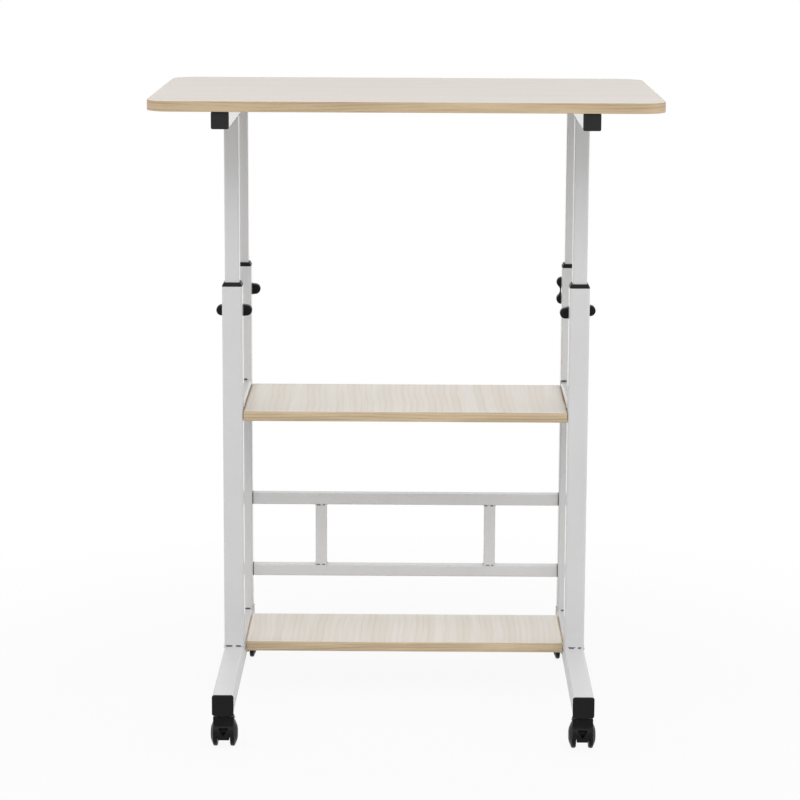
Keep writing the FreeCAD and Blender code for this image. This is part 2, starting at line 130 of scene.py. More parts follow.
@dataclass
class Skin:
    """Closed surface held as arrays until it becomes a mesh.

    Attributes:
        points: One row of x, y, z per corner, in metres.
        quads: Four corner numbers per face of the grid.
        fans: Three corner numbers per face of the end caps.
    """

    points: Array
    quads: Array
    fans: Array

    @staticmethod
    def through_rings(rings: Array, loop: bool = False) -> "Skin":
        """Surface through a row of closed rings that turn right-handed about the way they follow each other.

        Formula: the grid's first parameter numbers the rings and its second the points round a ring. Each
        cell of the grid is a quad, and a fan round the mean of the first and the last ring closes the ends.

        Args:
            rings: Points of shape (rings, points round a ring, 3).
            loop: True where the last ring joins the first, so that there are no ends.

        Returns:
            The closed surface.
        """
        count, around, _ = rings.shape
        row = np.arange(count if loop else count - 1)[:, None] * around
        following = (row + around) % (count * around)
        here = np.arange(around)
        beside = (here + 1) % around
        quads = columns(row + here, row + beside, following + beside, following + here).reshape(-1, 4)
        points = rings.reshape(-1, 3)
        fans = np.empty((0, 3), dtype=int)
        if not loop:
            last = (count - 1) * around
            fans = np.vstack([columns(len(points), beside, here),
                              columns(len(points) + 1, last + here, last + beside)])
            points = np.vstack([points, rings[0].mean(axis=0), rings[-1].mean(axis=0)])
        return Skin(points, quads, fans)

    @staticmethod
    def joined(skins: list["Skin"]) -> "Skin":
        """Several surfaces as one, with their corner numbers moved up."""
        starts = np.cumsum([0] + [len(skin.points) for skin in skins[:-1]])
        return Skin(
            np.vstack([skin.points for skin in skins]),
            np.vstack([skin.quads + start for skin, start in zip(skins, starts)]),
            np.vstack([skin.fans + start for skin, start in zip(skins, starts)]),
        )

    def half_turned(self, about: Vector) -> "Skin":
        """The surface after half a turn about an upright line through a point."""
        centre = np.array(about)
        return Skin((self.points - centre) * (-1, -1, 1) + centre, self.quads, self.fans)


@dataclass(frozen=True)
class Sweep:
    """Axis of a turned or lobed piece, from which its rings are measured.

    Attributes:
        origin: Point where the axis starts.
        along: Direction of the axis.
        start: Direction of angle zero, square to the axis.
    """

    origin: Vector
    along: Vector
    start: Vector

    def skin(self, stations: Array, radii: Array, loop: bool = False) -> Skin:
        """Surface of rings about the axis.

        Formula: the point at station s and angle a lies at origin + s * along + r(s, a) * (cos a * start +
        sin a * (along x start)).

        Args:
            stations: Place of each ring along the axis, in metres.
            radii: Radius of shape (rings, points round a ring), in metres.
            loop: True where the last ring joins the first.

        Returns:
            The closed surface.
        """
        angles = turn_angles(radii.shape[1])[:, None]
        across = np.array(self.along.cross(self.start))
        way = np.cos(angles) * np.array(self.start) + np.sin(angles) * across
        middles = np.array(self.origin) + stations[:, None] * np.array(self.along)
        return Skin.through_rings(middles[:, None] + radii[..., None] * way, loop)


def spindle(start: Vector, end: Vector, out: Vector, half: Pair, ripple: float = 0.0) -> Skin:
    """Bead that swells between two points.

    Formula: u runs from -1 to 1 along the line. The section is an ellipse, and its half axes are taken times
    the fourth root of 1 - u to the power of 4, and times 1 + ripple * the sine of u times the waves.

    Args:
        start: Where the bead begins.
        end: Where it ends.
        out: Direction in which the section's depth is measured.
        half: Half height and half depth of the section.
        ripple: Depth of the waves as a share of the section.

    Returns:
        The closed surface.
    """
    tip, waves, stations, around = 0.98, 9.0, 25, 14
    rise, reach = half
    u = np.sin(np.linspace(-tip, tip, stations) * QUARTER)
    swell = (1 - u ** 4) ** 0.25 * (1 + ripple * np.sin(waves * u))
    along = end - start
    across = np.array(along.normalized().cross(out))
    angles = turn_angles(around)[:, None]
    section = np.cos(angles) * np.array(out) * reach + np.sin(angles) * across * rise
    middle = np.array(start) + (u[:, None] + 1) / 2 * np.array(along)
    return Skin.through_rings(middle[:, None] + swell[:, None, None] * section)


class Wiring:
    """Adds nodes to one shader tree and links them."""

    def __init__(self, tree: Tree) -> None:
        """Take the tree to work on."""
        self.tree = tree

    def fill(self, node: Node, sockets: dict) -> None:
        """Fill a node's inputs.

        Args:
            node: The node.
            sockets: Input name or number, with a value for it or an output that links to it.
        """
        for name, value in sockets.items():
            if isinstance(value, Socket):
                self.tree.links.new(value, node.inputs[name])
            else:
                node.inputs[name].default_value = value

    def add(self, kind: str, sockets: dict | None = None, **settings: object) -> Node:
        """Add a node, set it up and fill its inputs.

        Args:
            kind: Blender's name of the node type.
            sockets: What fills its inputs.
            settings: Properties of the node.

        Returns:
            The new node.
        """
        node = self.tree.nodes.new(kind)
        for name, value in settings.items():
            setattr(node, name, value)
        self.fill(node, sockets or {})
        return node

    def math(self, operation: str, first: object, second: object = 0.0) -> Socket:
        """Result of a sum of two values or outputs."""
        return self.add("ShaderNodeMath", {0: first, 1: second}, operation=operation).outputs[0]

    def mix(self, share: object, first: object, second: object) -> Socket:
        """Colour between two others."""
        return self.add("ShaderNodeMix", {0: share, 6: first, 7: second}, data_type="RGBA").outputs[2]

    def spread(self, value: Socket, low: float, high: float, to_low: float = 0.0,
               to_high: float = 1.0) -> Socket:
        """Value moved from one range to another and kept inside it."""
        return self.add("ShaderNodeMapRange", {0: value, 1: low, 2: high, 3: to_low, 4: to_high}).outputs[0]

    def split(self, vector: Socket) -> Outputs:
        """Outputs X, Y and Z of a vector."""
        return self.add("ShaderNodeSeparateXYZ", {0: vector}).outputs

    def noise(self, place: Socket, scale: object, detail: float, roughness: float = 0.5) -> Socket:
        """Noise between 0 and 1 with so many waves per metre."""
        sockets = {"Vector": place, "Scale": scale, "Detail": detail, "Roughness": roughness}
        return self.add("ShaderNodeTexNoise", sockets).outputs["Fac"]


class Effects:
    """Shader groups that several finishes share, each built once."""

    def __init__(self) -> None:
        """Build the groups."""
        self.fine_grain = self._fine_grain()
        self.wood_figure = self._wood_figure()
        self.edge_wear = self._edge_wear()
        self.dust = self._dust()

    @staticmethod
    def _start(name: str, inputs: dict[str, float | Colour], *outputs: str) -> tuple[Wiring, Outputs, Node]:
        """Start a group that takes a place on the surface and other inputs.

        Args:
            name: Name of the group.
            inputs: Usual value or colour per input name.
            outputs: Names of the outputs, where Color is a colour and any other one a value.

        Returns:
            The wiring, the group's inputs by name, and its output node.
        """
        tree = bpy.data.node_groups.new(name, "ShaderNodeTree")
        tree.interface.new_socket("Vector", in_out="INPUT", socket_type="NodeSocketVector")
        for label, usual in inputs.items():
            kind = "NodeSocketFloat" if isinstance(usual, float) else "NodeSocketColor"
            tree.interface.new_socket(label, in_out="INPUT", socket_type=kind).default_value = usual
        for label in outputs:
            kind = "NodeSocketColor" if label == "Color" else "NodeSocketFloat"
            tree.interface.new_socket(label, in_out="OUTPUT", socket_type=kind)
        wiring = Wiring(tree)
        return wiring, wiring.add("NodeGroupInput").outputs, wiring.add("NodeGroupOutput")

    def _fine_grain(self) -> Tree:
        """Even grain of a coated or moulded surface: a mask, a height for its bumps, and wider patches.

        Returns:
            The group.
        """
        wiring, inside, out = self._start(
            "fine_grain", {"Grains per metre": 900.0, "Patches per metre": 14.0}, "Mask", "Height", "Patches")
        fine = wiring.noise(inside["Vector"], inside["Grains per metre"], detail=2.0, roughness=0.55)
        wide = wiring.noise(inside["Vector"], inside["Patches per metre"], detail=3.0)
        wiring.fill(out, {"Mask": wiring.spread(fine, 0.35, 0.65), "Height": fine,
                          "Patches": wiring.spread(wide, 0.3, 0.7)})
        return wiring.tree

    def _wood_figure(self) -> Tree:
        """Printed wood figure that runs along X: fibres, wider streaks and the waves of growth rings.

        Returns:
            The group.
        """
        wiring, inside, out = self._start(
            "wood_figure",
            {"Pale": grey(0.8), "Streak": grey(0.7), "Ring": grey(0.6), "Fibres per metre": 700.0,
             "Rings per metre": 22.0, "Stretch": 0.04, "Sway": 0.03, "Curl": 5.0},
            "Color", "Height")
        place = wiring.split(inside["Vector"])
        sway = wiring.math("SUBTRACT", wiring.noise(inside["Vector"], scale=4.5, detail=2.0), 0.5)
        across = wiring.math("ADD", place["Y"], wiring.math("MULTIPLY", sway, inside["Sway"]))
        drawn = wiring.math("MULTIPLY", place["X"], inside["Stretch"])
        long_way = wiring.add("ShaderNodeCombineXYZ", {"X": drawn, "Y": across, "Z": place["Z"]}).outputs[0]
        fibres = wiring.noise(long_way, inside["Fibres per metre"], detail=3.0, roughness=0.6)
        streaks = wiring.noise(long_way, scale=60.0, detail=4.0, roughness=0.65)
        bends = wiring.noise(inside["Vector"], scale=3.2, detail=1.0)
        swept = wiring.math("MULTIPLY", bends, inside["Curl"])
        phase = wiring.math("ADD", wiring.math("MULTIPLY", across, inside["Rings per metre"]), swept)
        wave = wiring.math("SINE", wiring.math("MULTIPLY", phase, 2 * math.pi))
        rings = wiring.math("MULTIPLY", wiring.spread(wave, 0.3, 1.0), wiring.spread(streaks, 0.42, 0.62))
        toned = wiring.mix(wiring.spread(streaks, 0.38, 0.62), inside["Pale"], inside["Streak"])
        ringed = wiring.mix(rings, toned, inside["Ring"])
        threads = wiring.spread(fibres, 0.45, 0.7, 0.0, 0.55)
        wiring.fill(out, {"Color": wiring.mix(threads, ringed, inside["Streak"]), "Height": fibres})
        return wiring.tree

    def _edge_wear(self) -> Tree:
        """Mask of the edges that hands and feet rub, broken up by grain.

        Returns:
            The group.
        """
        wiring, inside, out = self._start("edge_wear", {"Width": 0.8 * MM}, "Mask")
        rounded = wiring.add("ShaderNodeBevel", {"Radius": inside["Width"]}, samples=4).outputs[0]
        plain = wiring.add("ShaderNodeNewGeometry").outputs["Normal"]
        facing = wiring.add("ShaderNodeVectorMath", {0: rounded, 1: plain}, operation="DOT_PRODUCT")
        edge = wiring.spread(facing.outputs["Value"], 0.99, 0.86)
        rubbed = wiring.spread(wiring.noise(inside["Vector"], scale=260.0, detail=3.0), 0.35, 0.65)
        wiring.fill(out, {"Mask": wiring.math("MULTIPLY", edge, rubbed)})
        return wiring.tree

    def _dust(self) -> Tree:
        """Mask of thin dust that settles on faces that look up.

        Returns:
            The group.
        """
        wiring, inside, out = self._start("dust", {"Amount": 0.1}, "Mask")
        up = wiring.split(wiring.add("ShaderNodeNewGeometry").outputs["Normal"])["Z"]
        specks = wiring.noise(inside["Vector"], scale=320.0, detail=5.0, roughness=0.7)
        lying = wiring.math("MULTIPLY", wiring.spread(up, 0.2, 1.0), wiring.spread(specks, 0.3, 0.75))
        wiring.fill(out, {"Mask": wiring.math("MULTIPLY", lying, inside["Amount"])})
        return wiring.tree


class Paint(Wiring):
    """Shader tree of one material, with its shader and its Object coordinates."""

    def __init__(self, name: str, constants: dict[str, float]) -> None:
        """Begin the material.

        Args:
            name: Its name.
            constants: Values that are the same all over, by the shader's socket name.
        """
        self.material = bpy.data.materials.new(name)
        self.material.use_nodes = True
        super().__init__(self.material.node_tree)
        self.shader = self.tree.nodes["Principled BSDF"]
        self.fill(self.shader, constants)
        self.place = self.add("ShaderNodeTexCoord").outputs["Object"]

    def group(self, tree: Tree, values: dict | None = None) -> Outputs:
        """Outputs of a shared group, laid on the Object coordinates unless the values name another place."""
        return self.add("ShaderNodeGroup", {"Vector": self.place, **(values or {})}, node_tree=tree).outputs

    def finish(self, colour: Socket, roughness: Socket, height: Socket | None = None,
               depth: float = 0.0) -> Material:
        """Link what varies over the surface to the shader.

        Args:
            colour: Colour.
            roughness: Roughness.
            height: Height of the bumps from 0 to 1, if there are any.
            depth: What a height of 1 stands for, in metres.

        Returns:
            The finished material.
        """
        self.fill(self.shader, {"Base Color": colour, "Roughness": roughness})
        if height is not None:
            bump = self.add("ShaderNodeBump", {"Height": height, "Distance": depth, "Strength": 1.0})
            self.fill(self.shader, {"Normal": bump.outputs[0]})
        return self.material


@dataclass(frozen=True)
class Finish:
    """Surface of one material.

    Attributes:
        name: Name of the material.
        slot: Slot of the record that it finishes.
    """

    name: str
    slot: Slot


@dataclass(frozen=True)
class PowderCoat(Finish):
    """White powder coat on steel tube, with a fine orange peel, scuffed dull near the floor.

    Attributes:
        colour: Usual colour.
        shade: Colour of thinner patches.
        roughness: Least and greatest roughness well above the floor.
        scuff: Roughness that is added near the floor.
        scuff_height: Between which heights the scuffing fades out.
        grains: Grains and patches per metre.
        dust: Strength and colour of the dust.
        depth: Depth of the orange peel.
    """

    colour: Colour = (0.710, 0.710, 0.711, 1.0)
    shade: Colour = (0.671, 0.671, 0.675, 1.0)
    roughness: Pair = (0.09, 0.13)
    scuff: float = 0.35
    scuff_height: Pair = (65.0 * MM, 110.0 * MM)
    grains: Pair = (620.0, 9.0)
    dust: tuple[float, Colour] = (0.05, grey(0.55, 0.06))
    depth: float = 0.008 * MM

    def make(self, effects: Effects) -> Material:
        """Build the material.

        Args:
            effects: The shared groups.

        Returns:
            The material.
        """
        paint = Paint(self.name, {"Specular IOR Level": 0.5})
        fine, wide = self.grains
        amount, dust_colour = self.dust
        grain = paint.group(effects.fine_grain, {"Grains per metre": fine, "Patches per metre": wide})
        dust = paint.group(effects.dust, {"Amount": amount})["Mask"]
        coat = paint.mix(grain["Patches"], self.colour, self.shade)
        dull = paint.spread(paint.split(paint.place)["Z"], *self.scuff_height, self.scuff, 0.0)
        gloss = paint.spread(grain["Mask"], 0.0, 1.0, *self.roughness)
        return paint.finish(paint.mix(dust, coat, dust_colour), paint.math("ADD", gloss, dull),
                            grain["Height"], self.depth)


@dataclass(frozen=True)
class WoodPrint(Finish):
    """Printed wood: the boards' laminate or the edge band.

    Attributes:
        pale: Ground colour.
        streak: Colour of streaks and fibres.
        ring: Colour of the growth rings.
        grain: Which way the grain runs.
        fibres: Fibres per metre.
        rings: Rings per metre.
        stretch: Width of a fibre as a share of its length.
        sway: How far the grain strays sideways, in metres.
        curl: How much the rings bend.
        roughness: Least and greatest roughness.
        depth: Depth of the pores.
        upright: True for a band, whose grain runs round the board.
        specular: Strength of the reflections.
    """

    # These usual colours are the tabletop's. They are the shelves' laminate darkened as painted shade, to
    # take out the stronger lamp light on the top.
    pale: Colour = (0.735, 0.688, 0.636, 1.0)
    streak: Colour = (0.717, 0.670, 0.614, 1.0)
    ring: Colour = (0.697, 0.647, 0.590, 1.0)
    grain: Grain = Grain.ALONG_DESK
    fibres: float = 520.0
    rings: float = 22.0
    stretch: float = 0.03
    sway: float = 0.05
    curl: float = 5.0
    roughness: Pair = (0.50, 0.60)
    depth: float = 0.02 * MM
    upright: bool = False
    specular: float = 0.05

    def make(self, effects: Effects) -> Material:
        """Build the material.

        Args:
            effects: The shared groups.

        Returns:
            The material.
        """
        paint = Paint(self.name, {"Specular IOR Level": self.specular})
        if self.upright:
            place = paint.split(paint.place)
            round_edge = paint.math("ADD", place["X"], place["Y"])
            laid = paint.add("ShaderNodeCombineXYZ", {"X": round_edge, "Y": place["Z"]})
        else:
            turn = (0.0, 0.0, math.radians(self.grain.value))
            laid = paint.add("ShaderNodeMapping", {"Vector": paint.place, "Rotation": turn})
        figure = paint.group(effects.wood_figure, {
            "Vector": laid.outputs[0], "Pale": self.pale, "Streak": self.streak, "Ring": self.ring,
            "Fibres per metre": self.fibres, "Rings per metre": self.rings, "Stretch": self.stretch,
            "Sway": self.sway, "Curl": self.curl})
        roughness = paint.spread(figure["Height"], 0.3, 0.7, *self.roughness)
        return paint.finish(figure["Color"], roughness, figure["Height"], self.depth)


@dataclass(frozen=True)
class MouldedPlastic(Finish):
    """Black moulded plastic with a spark-eroded grain, rubbed edges and a little dust.

    Attributes:
        colour: Usual colour.
        speck: Colour of the grain's high spots.
        rubbed: Colour and strength of the rubbed edges.
        grains: Grains per metre.
        depth: Depth of the grain.
        dust: Strength of the dust.
        dust_colour: Its colour.
        specular: Strength of the reflections.
        roughness: Least and greatest roughness.
    """

    colour: Colour = (0.0055, 0.0055, 0.0057, 1.0)
    speck: Colour = (0.009, 0.009, 0.0092, 1.0)
    rubbed: tuple[Colour, float] = (grey(0.035), 0.5)
    grains: float = 900.0
    depth: float = 0.05 * MM
    dust: float = 0.05
    dust_colour: Colour = grey(0.4, 0.05)
    specular: float = 0.15
    roughness: Pair = (0.34, 0.48)

    def make(self, effects: Effects) -> Material:
        """Build the material.

        Args:
            effects: The shared groups.

        Returns:
            The material.
        """
        paint = Paint(self.name, {"Specular IOR Level": self.specular})
        grain = paint.group(effects.fine_grain, {"Grains per metre": self.grains})
        wear = paint.group(effects.edge_wear)["Mask"]
        dust = paint.group(effects.dust, {"Amount": self.dust})["Mask"]
        rubbed, share = self.rubbed
        body = paint.mix(grain["Mask"], self.colour, self.speck)
        worn = paint.mix(paint.math("MULTIPLY", wear, share), body, rubbed)
        roughness = paint.spread(grain["Patches"], 0.0, 1.0, *self.roughness)
        return paint.finish(paint.mix(dust, worn, self.dust_colour), roughness, grain["Height"], self.depth)


@dataclass(frozen=True)
class ZincPlate(Finish):
    """Zinc plate on screws, nuts and studs.

    Attributes:
        colour: Usual colour.
        dull: Colour of dull patches.
        grains: Grains and patches per metre.
        roughness: Least and greatest roughness.
        depth: Depth of the grain.
    """

    colour: Colour = (0.60, 0.60, 0.585, 1.0)
    dull: Colour = (0.44, 0.445, 0.45, 1.0)
    grains: Pair = (1500.0, 180.0)
    roughness: Pair = (0.28, 0.42)
    depth: float = 0.01 * MM

    def make(self, effects: Effects) -> Material:
        """Build the material.

        Args:
            effects: The shared groups.

        Returns:
            The material.
        """
        paint = Paint(self.name, {"Metallic": 1.0})
        fine, wide = self.grains
        grain = paint.group(effects.fine_grain, {"Grains per metre": fine, "Patches per metre": wide})
        roughness = paint.spread(grain["Mask"], 0.0, 1.0, *self.roughness)
        colour = paint.mix(grain["Patches"], self.colour, self.dull)
        return paint.finish(colour, roughness, grain["Height"], self.depth)


@dataclass(frozen=True)
class PaintedSeamShadow(Finish):
    """Painted shadow: a dark sheet along the open seam beside a tack weld. It is partly the bare seam that
    the coat doesn't reach and mostly the shade inside it.

    Attributes:
        colour: Dark colour that paints the shade in the seam.
        edge: Colour of paler grains.
        grains: Grains per metre.
        roughness: Least and greatest roughness.
    """

    colour: Colour = (0.035, 0.034, 0.05, 1.0)
    edge: Colour = (0.16, 0.155, 0.19, 1.0)
    grains: float = 700.0
    roughness: Pair = (0.6, 0.8)

    def make(self, effects: Effects) -> Material:
        """Build the material.

        Args:
            effects: The shared groups.

        Returns:
            The material.
        """
        paint = Paint(self.name, {"Specular IOR Level": 0.2})
        mask = paint.group(effects.fine_grain, {"Grains per metre": self.grains})["Mask"]
        roughness = paint.spread(mask, 0.0, 1.0, *self.roughness)
        return paint.finish(paint.mix(mask, self.colour, self.edge), roughness)


# What both tan bands have in common.
BAND = {"fibres": 900.0, "rings": 260.0, "stretch": 0.05, "sway": 0.006, "roughness": (0.40, 0.52),
        "specular": 0.3, "depth": 0.03 * MM, "upright": True}


class Look(Enum):
    """Finishes of the desk."""

    STEEL = PowderCoat("white powder coat", Slot.STEEL)
    # The same laminate as the shelves, darkened as painted shade.
    TOP = WoodPrint("pale laminate with painted shade", Slot.LAMINATE)
    SHELF = WoodPrint(
        "pale shelf laminate", Slot.LAMINATE, pale=(0.852, 0.815, 0.760, 1.0),
        streak=(0.800, 0.754, 0.686, 1.0), ring=(0.754, 0.703, 0.632, 1.0), grain=Grain.FRONT_TO_BACK,
        fibres=380.0, rings=130.0, sway=0.022, curl=1.4)
    SHELF_BAND = WoodPrint(
        "tan edge band", Slot.BAND, pale=(0.73, 0.582, 0.392, 1.0), streak=(0.563, 0.436, 0.284, 1.0),
        ring=(0.416, 0.302, 0.184, 1.0), **BAND)
    # The shelves' tan band darkened as painted shade, for the stronger lamp light on the top.
    TOP_BAND = WoodPrint(
        "tan tabletop band with painted shade", Slot.BAND, pale=(0.650, 0.505, 0.327, 1.0), streak=(0.501, 0.378, 0.237, 1.0),
        ring=(0.370, 0.262, 0.153, 1.0), **BAND)
    PLASTIC = MouldedPlastic("black plastic", Slot.PLASTIC)
    CAP = MouldedPlastic("grey-black caps", Slot.PLASTIC, colour=grey(0.018), speck=grey(0.026))
    CASTOR = MouldedPlastic(
        "castor nylon", Slot.CASTOR, colour=grey(0.0052), speck=grey(0.009), grains=1100.0, depth=0.03 * MM,
        dust=0.04, specular=0.11, roughness=(0.26, 0.4))
    ZINC = ZincPlate("zinc plate", Slot.ZINC)
    BLACKENED = ZincPlate("black zinc plate", Slot.ZINC, colour=grey(0.012), dull=grey(0.02))
    # Dark sheets that paint the shade in the open seams.
    SEAM_SHADOW = PaintedSeamShadow("painted seam shadow", Slot.STEEL)


class Palette:
    """Materials of the desk, made once and handed to the sub-assemblies."""

    def __init__(self) -> None:
        """Make every material."""
        effects = Effects()
        self.materials = {look: look.value.make(effects) for look in Look}

    def dress(self, look: Look, *nodes: str) -> None:
        """Give CAD nodes a finish in place of their plain material.

        Args:
            look: The finish.
            nodes: Names of the nodes.
        """
        for name in nodes:
            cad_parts[name].material_slots[0].material = self.materials[look]
            LOG.info("%s dressed in %s", name, look.value.name)

    def piece(self, name: str, skin: Skin, look: Look, body: str, *replaced: str) -> None:
        """Make a surface into a piece that rides on a body.

        Args:
            name: Name of the piece.
            skin: Its surface.
            look: Its finish.
            body: Body that carries it.
            replaced: CAD nodes that it stands for.
        """
        sharp_from = math.radians(38)
        mesh = bpy.data.meshes.new(name)
        mesh.from_pydata(skin.points.tolist(), [], skin.quads.tolist() + skin.fans.tolist())
        mesh.polygons.foreach_set("use_smooth", np.ones(len(mesh.polygons), dtype=bool))
        mesh.set_sharp_from_angle(angle=sharp_from)
        mesh.materials.append(self.materials[look])
        made = bpy.data.objects.new(name, mesh)
        bpy.context.scene.collection.objects.link(made)
        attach(made, body)
        if replaced:
            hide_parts(*replaced)
        LOG.info("%s built on %s with %d faces", name, body, len(mesh.polygons))


@dataclass
class Assembly:
    """Part of the desk.

    Attributes:
        palette: Materials of the desk.
        body: Body that carries what doesn't move on its own.
    """

    palette: Palette
    body: str = "base"

    def dress(self) -> None:
        """Give the CAD nodes that stay their finishes, where there are any."""


@dataclass(frozen=True)
class SquareSeam:
    """Joint where a square tube's end stands on another tube: tack welds with a painted shadow of the open
    seam between them.

    Attributes:
        side: Outside size of the tube.
        beads: Start and end of each tack weld along a face, as shares of it counted from its middle.
        shadow_strips: Start and end of each stretch of painted seam shadow, counted alike.
        bead_size: Half size of a tack weld's section.
        ripple: Depth of the waves on a tack weld, as a share of its section.
        shadow_height: Half height of the painted shadow in the open seam.
        shadow_proud: How far the dark sheet of painted shadow stands proud.
        corner_shadow_proud: The same on the first face and the one behind it.
        wander: How far a mark may lie from its usual place, as a share of the face.
        stretch: How much longer or shorter a mark may be, as a share of its length.
        phases: Of the waves that move the marks: at the first mark, per face and per mark, in radians.
        stretch_phase: By how much the wave that stretches a mark differs, in radians.
    """

    side: float
    beads: tuple[Pair, ...] = ((-0.5, -0.36), (-0.06, 0.13), (0.42, 0.5))
    shadow_strips: tuple[Pair, ...] = ((-0.36, -0.05), (0.12, 0.42))
    bead_size: float = 1.1 * MM
    ripple: float = 0.12
    shadow_height: float = 1.0 * MM
    shadow_proud: float = 0.22 * MM
    corner_shadow_proud: float = 0.22 * MM
    wander: float = 0.085
    stretch: float = 0.35
    phases: Triple = (-0.95, 1.886, -1.35)
    stretch_phase: float = -2.0

    def uneven(self, marks: tuple[Pair, ...], number: int) -> list[Pair]:
        """Marks of one face, none quite like those of another.

        Formula: a wave is first + face number * per face + mark number * per mark. A mark's middle moves by
        wander * sine of the wave, and its length is taken times 1 + stretch * sine of twice the wave and the
        stretch's phase.

        Args:
            marks: Usual start and end of each mark.
            number: The face's number.

        Returns:
            Start and end of each mark.
        """
        first, per_face, per_mark = self.phases
        usual = np.array(marks)
        wave = first + number * per_face + np.arange(len(marks)) * per_mark
        middle = usual.mean(axis=1) + self.wander * np.sin(wave)
        half = np.ptp(usual, axis=1) / 2 * (1 + self.stretch * np.sin(2 * wave + self.stretch_phase))
        return columns(middle - half, middle + half).clip(-0.5, 0.5).tolist()

    def weld(self, assembly: Assembly, name: str, joints: list[tuple[Box, Vector, Vector]]) -> None:
        """Build the tack welds and the painted shadows of the open seams of several joints as two pieces.

        Args:
            assembly: What the joints belong to.
            name: What they hold together.
            joints: Box of the tube, where its end looks and where its first face looks, per joint.
        """
        bead_half = (self.bead_size, self.bead_size)
        beads: list[Skin] = []
        shadow_strips: list[Skin] = []
        for number, (box, way, start) in enumerate(joints):
            for quarter in range(4):
                face_number = 4 * number + quarter
                out = Matrix.Rotation(quarter * QUARTER, 3, -way) @ start
                along = out.cross(way) * self.side
                face = face_middle(box, way) + out * self.side / 2
                seam = face - way * self.shadow_height
                shadow_half = (self.shadow_height, self.shadow_proud if quarter % 2 else self.corner_shadow_proud)
                beads += [spindle(face + along * low, face + along * high, out, bead_half, self.ripple)
                          for low, high in self.uneven(self.beads, face_number)]
                # Dark sheets along the open seam: painted shade.
                shadow_strips += [spindle(seam + along * low, seam + along * high, out, shadow_half)
                         for low, high in self.uneven(self.shadow_strips, face_number)]
        assembly.palette.piece(f"{name}_tack_welds", Skin.joined(beads), Look.STEEL, assembly.body)
        assembly.palette.piece(f"{name}_painted_seam_shadows", Skin.joined(shadow_strips), Look.SEAM_SHADOW, assembly.body)


@dataclass
class Tabletop(Assembly):
    """Laminated board with its edge band, the bars under it and the inner tubes.

    Attributes:
        body: Body that carries them.
    """

    body: str = "table"

    def dress(self) -> None:
        """Give the board, bars and tubes their finishes."""
        tubes = [f"{leg}_inner_tube" for leg in LEGS]
        self.palette.dress(Look.TOP, "tabletop_board")
        self.palette.dress(Look.TOP_BAND, "tabletop_edge_band")
        self.palette.dress(Look.STEEL, "left_top_bar", "right_top_bar", *tubes)
        self.palette.dress(Look.CAP, "top_bar_caps")
        self.palette.dress(Look.PLASTIC, "inner_tube_guides")
        self.palette.dress(Look.ZINC, "tabletop_screws")

    def build(self) -> None:
        """Weld the inner tubes under the bars."""
        tubes = [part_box(f"{leg}_inner_tube") for leg in LEGS]
        low, high = tubes[0]
        SquareSeam(high.x - low.x).weld(self, "inner_tubes", [(tube, Z_WAY, X_WAY) for tube in tubes])


@dataclass
class SideFrames(Assembly):
    """Feet, legs and side rails of both sides, with their caps and collars.

    Attributes:
        mark_size: Half thickness of the painted seam shadows where a side rail meets a leg, and how far they
            stand proud.
    """

    mark_size: Pair = (0.5 * MM, 2.2 * MM)

    def dress(self) -> None:
        """Give the tubes, caps and collars their finishes."""
        for side in SIDES:
            self.palette.dress(Look.STEEL, f"{side}_foot_tube", f"{side}_side_rail")
        self.palette.dress(Look.STEEL, *[f"{leg}_leg" for leg in LEGS])
        self.palette.dress(Look.PLASTIC, "foot_end_caps", "leg_collars")

    def build(self) -> None:
        """Weld the legs to the feet and the side rails to the legs."""
        legs = [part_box(f"{leg}_leg") for leg in LEGS]
        low, high = legs[0]
        SquareSeam(high.x - low.x).weld(self, "side_frames", [(leg, -Z_WAY, -Y_WAY) for leg in legs])
        rails = [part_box(f"{side}_side_rail") for side in SIDES]
        low, high = rails[0]
        # The dark marks paint the shade in the seams.
        thickness, proud = self.mark_size
        seam = SquareSeam(high.z - low.z, shadow_height=thickness, corner_shadow_proud=proud)
        seam.weld(self, "side_rails", [(rail, way, Z_WAY) for rail in rails for way in (-Y_WAY, Y_WAY)])


@dataclass
class Ladder(Assembly):
    """Rails and posts between the rear legs.

    Attributes:
        bead_size: Half size of a tack weld's section.
        shadow_height: Half height of the painted shadow in an open seam.
    """

    bead_size: float = 0.9 * MM
    shadow_height: float = 0.6 * MM

    def dress(self) -> None:
        """Give the tubes, plugs and bolts their finishes."""
        self.palette.dress(Look.STEEL, "stretcher_upper_rail", "stretcher_lower_rail", "stretcher_posts")
        self.palette.dress(Look.PLASTIC, "stretcher_end_plugs")
        self.palette.dress(Look.ZINC, "stretcher_bolts")

    def build(self) -> None:
        """Weld the posts between the rails."""
        low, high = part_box("stretcher_posts")
        depth = high.y - low.y
        between = X_WAY * (high.x - low.x - depth)
        posts = [(low, high - between), (low + between, high)]
        seam = SquareSeam(depth, bead_size=self.bead_size, shadow_height=self.shadow_height)
        seam.weld(self, "ladder_posts", [(post, way, -Y_WAY) for post in posts for way in (-Z_WAY, Z_WAY)])


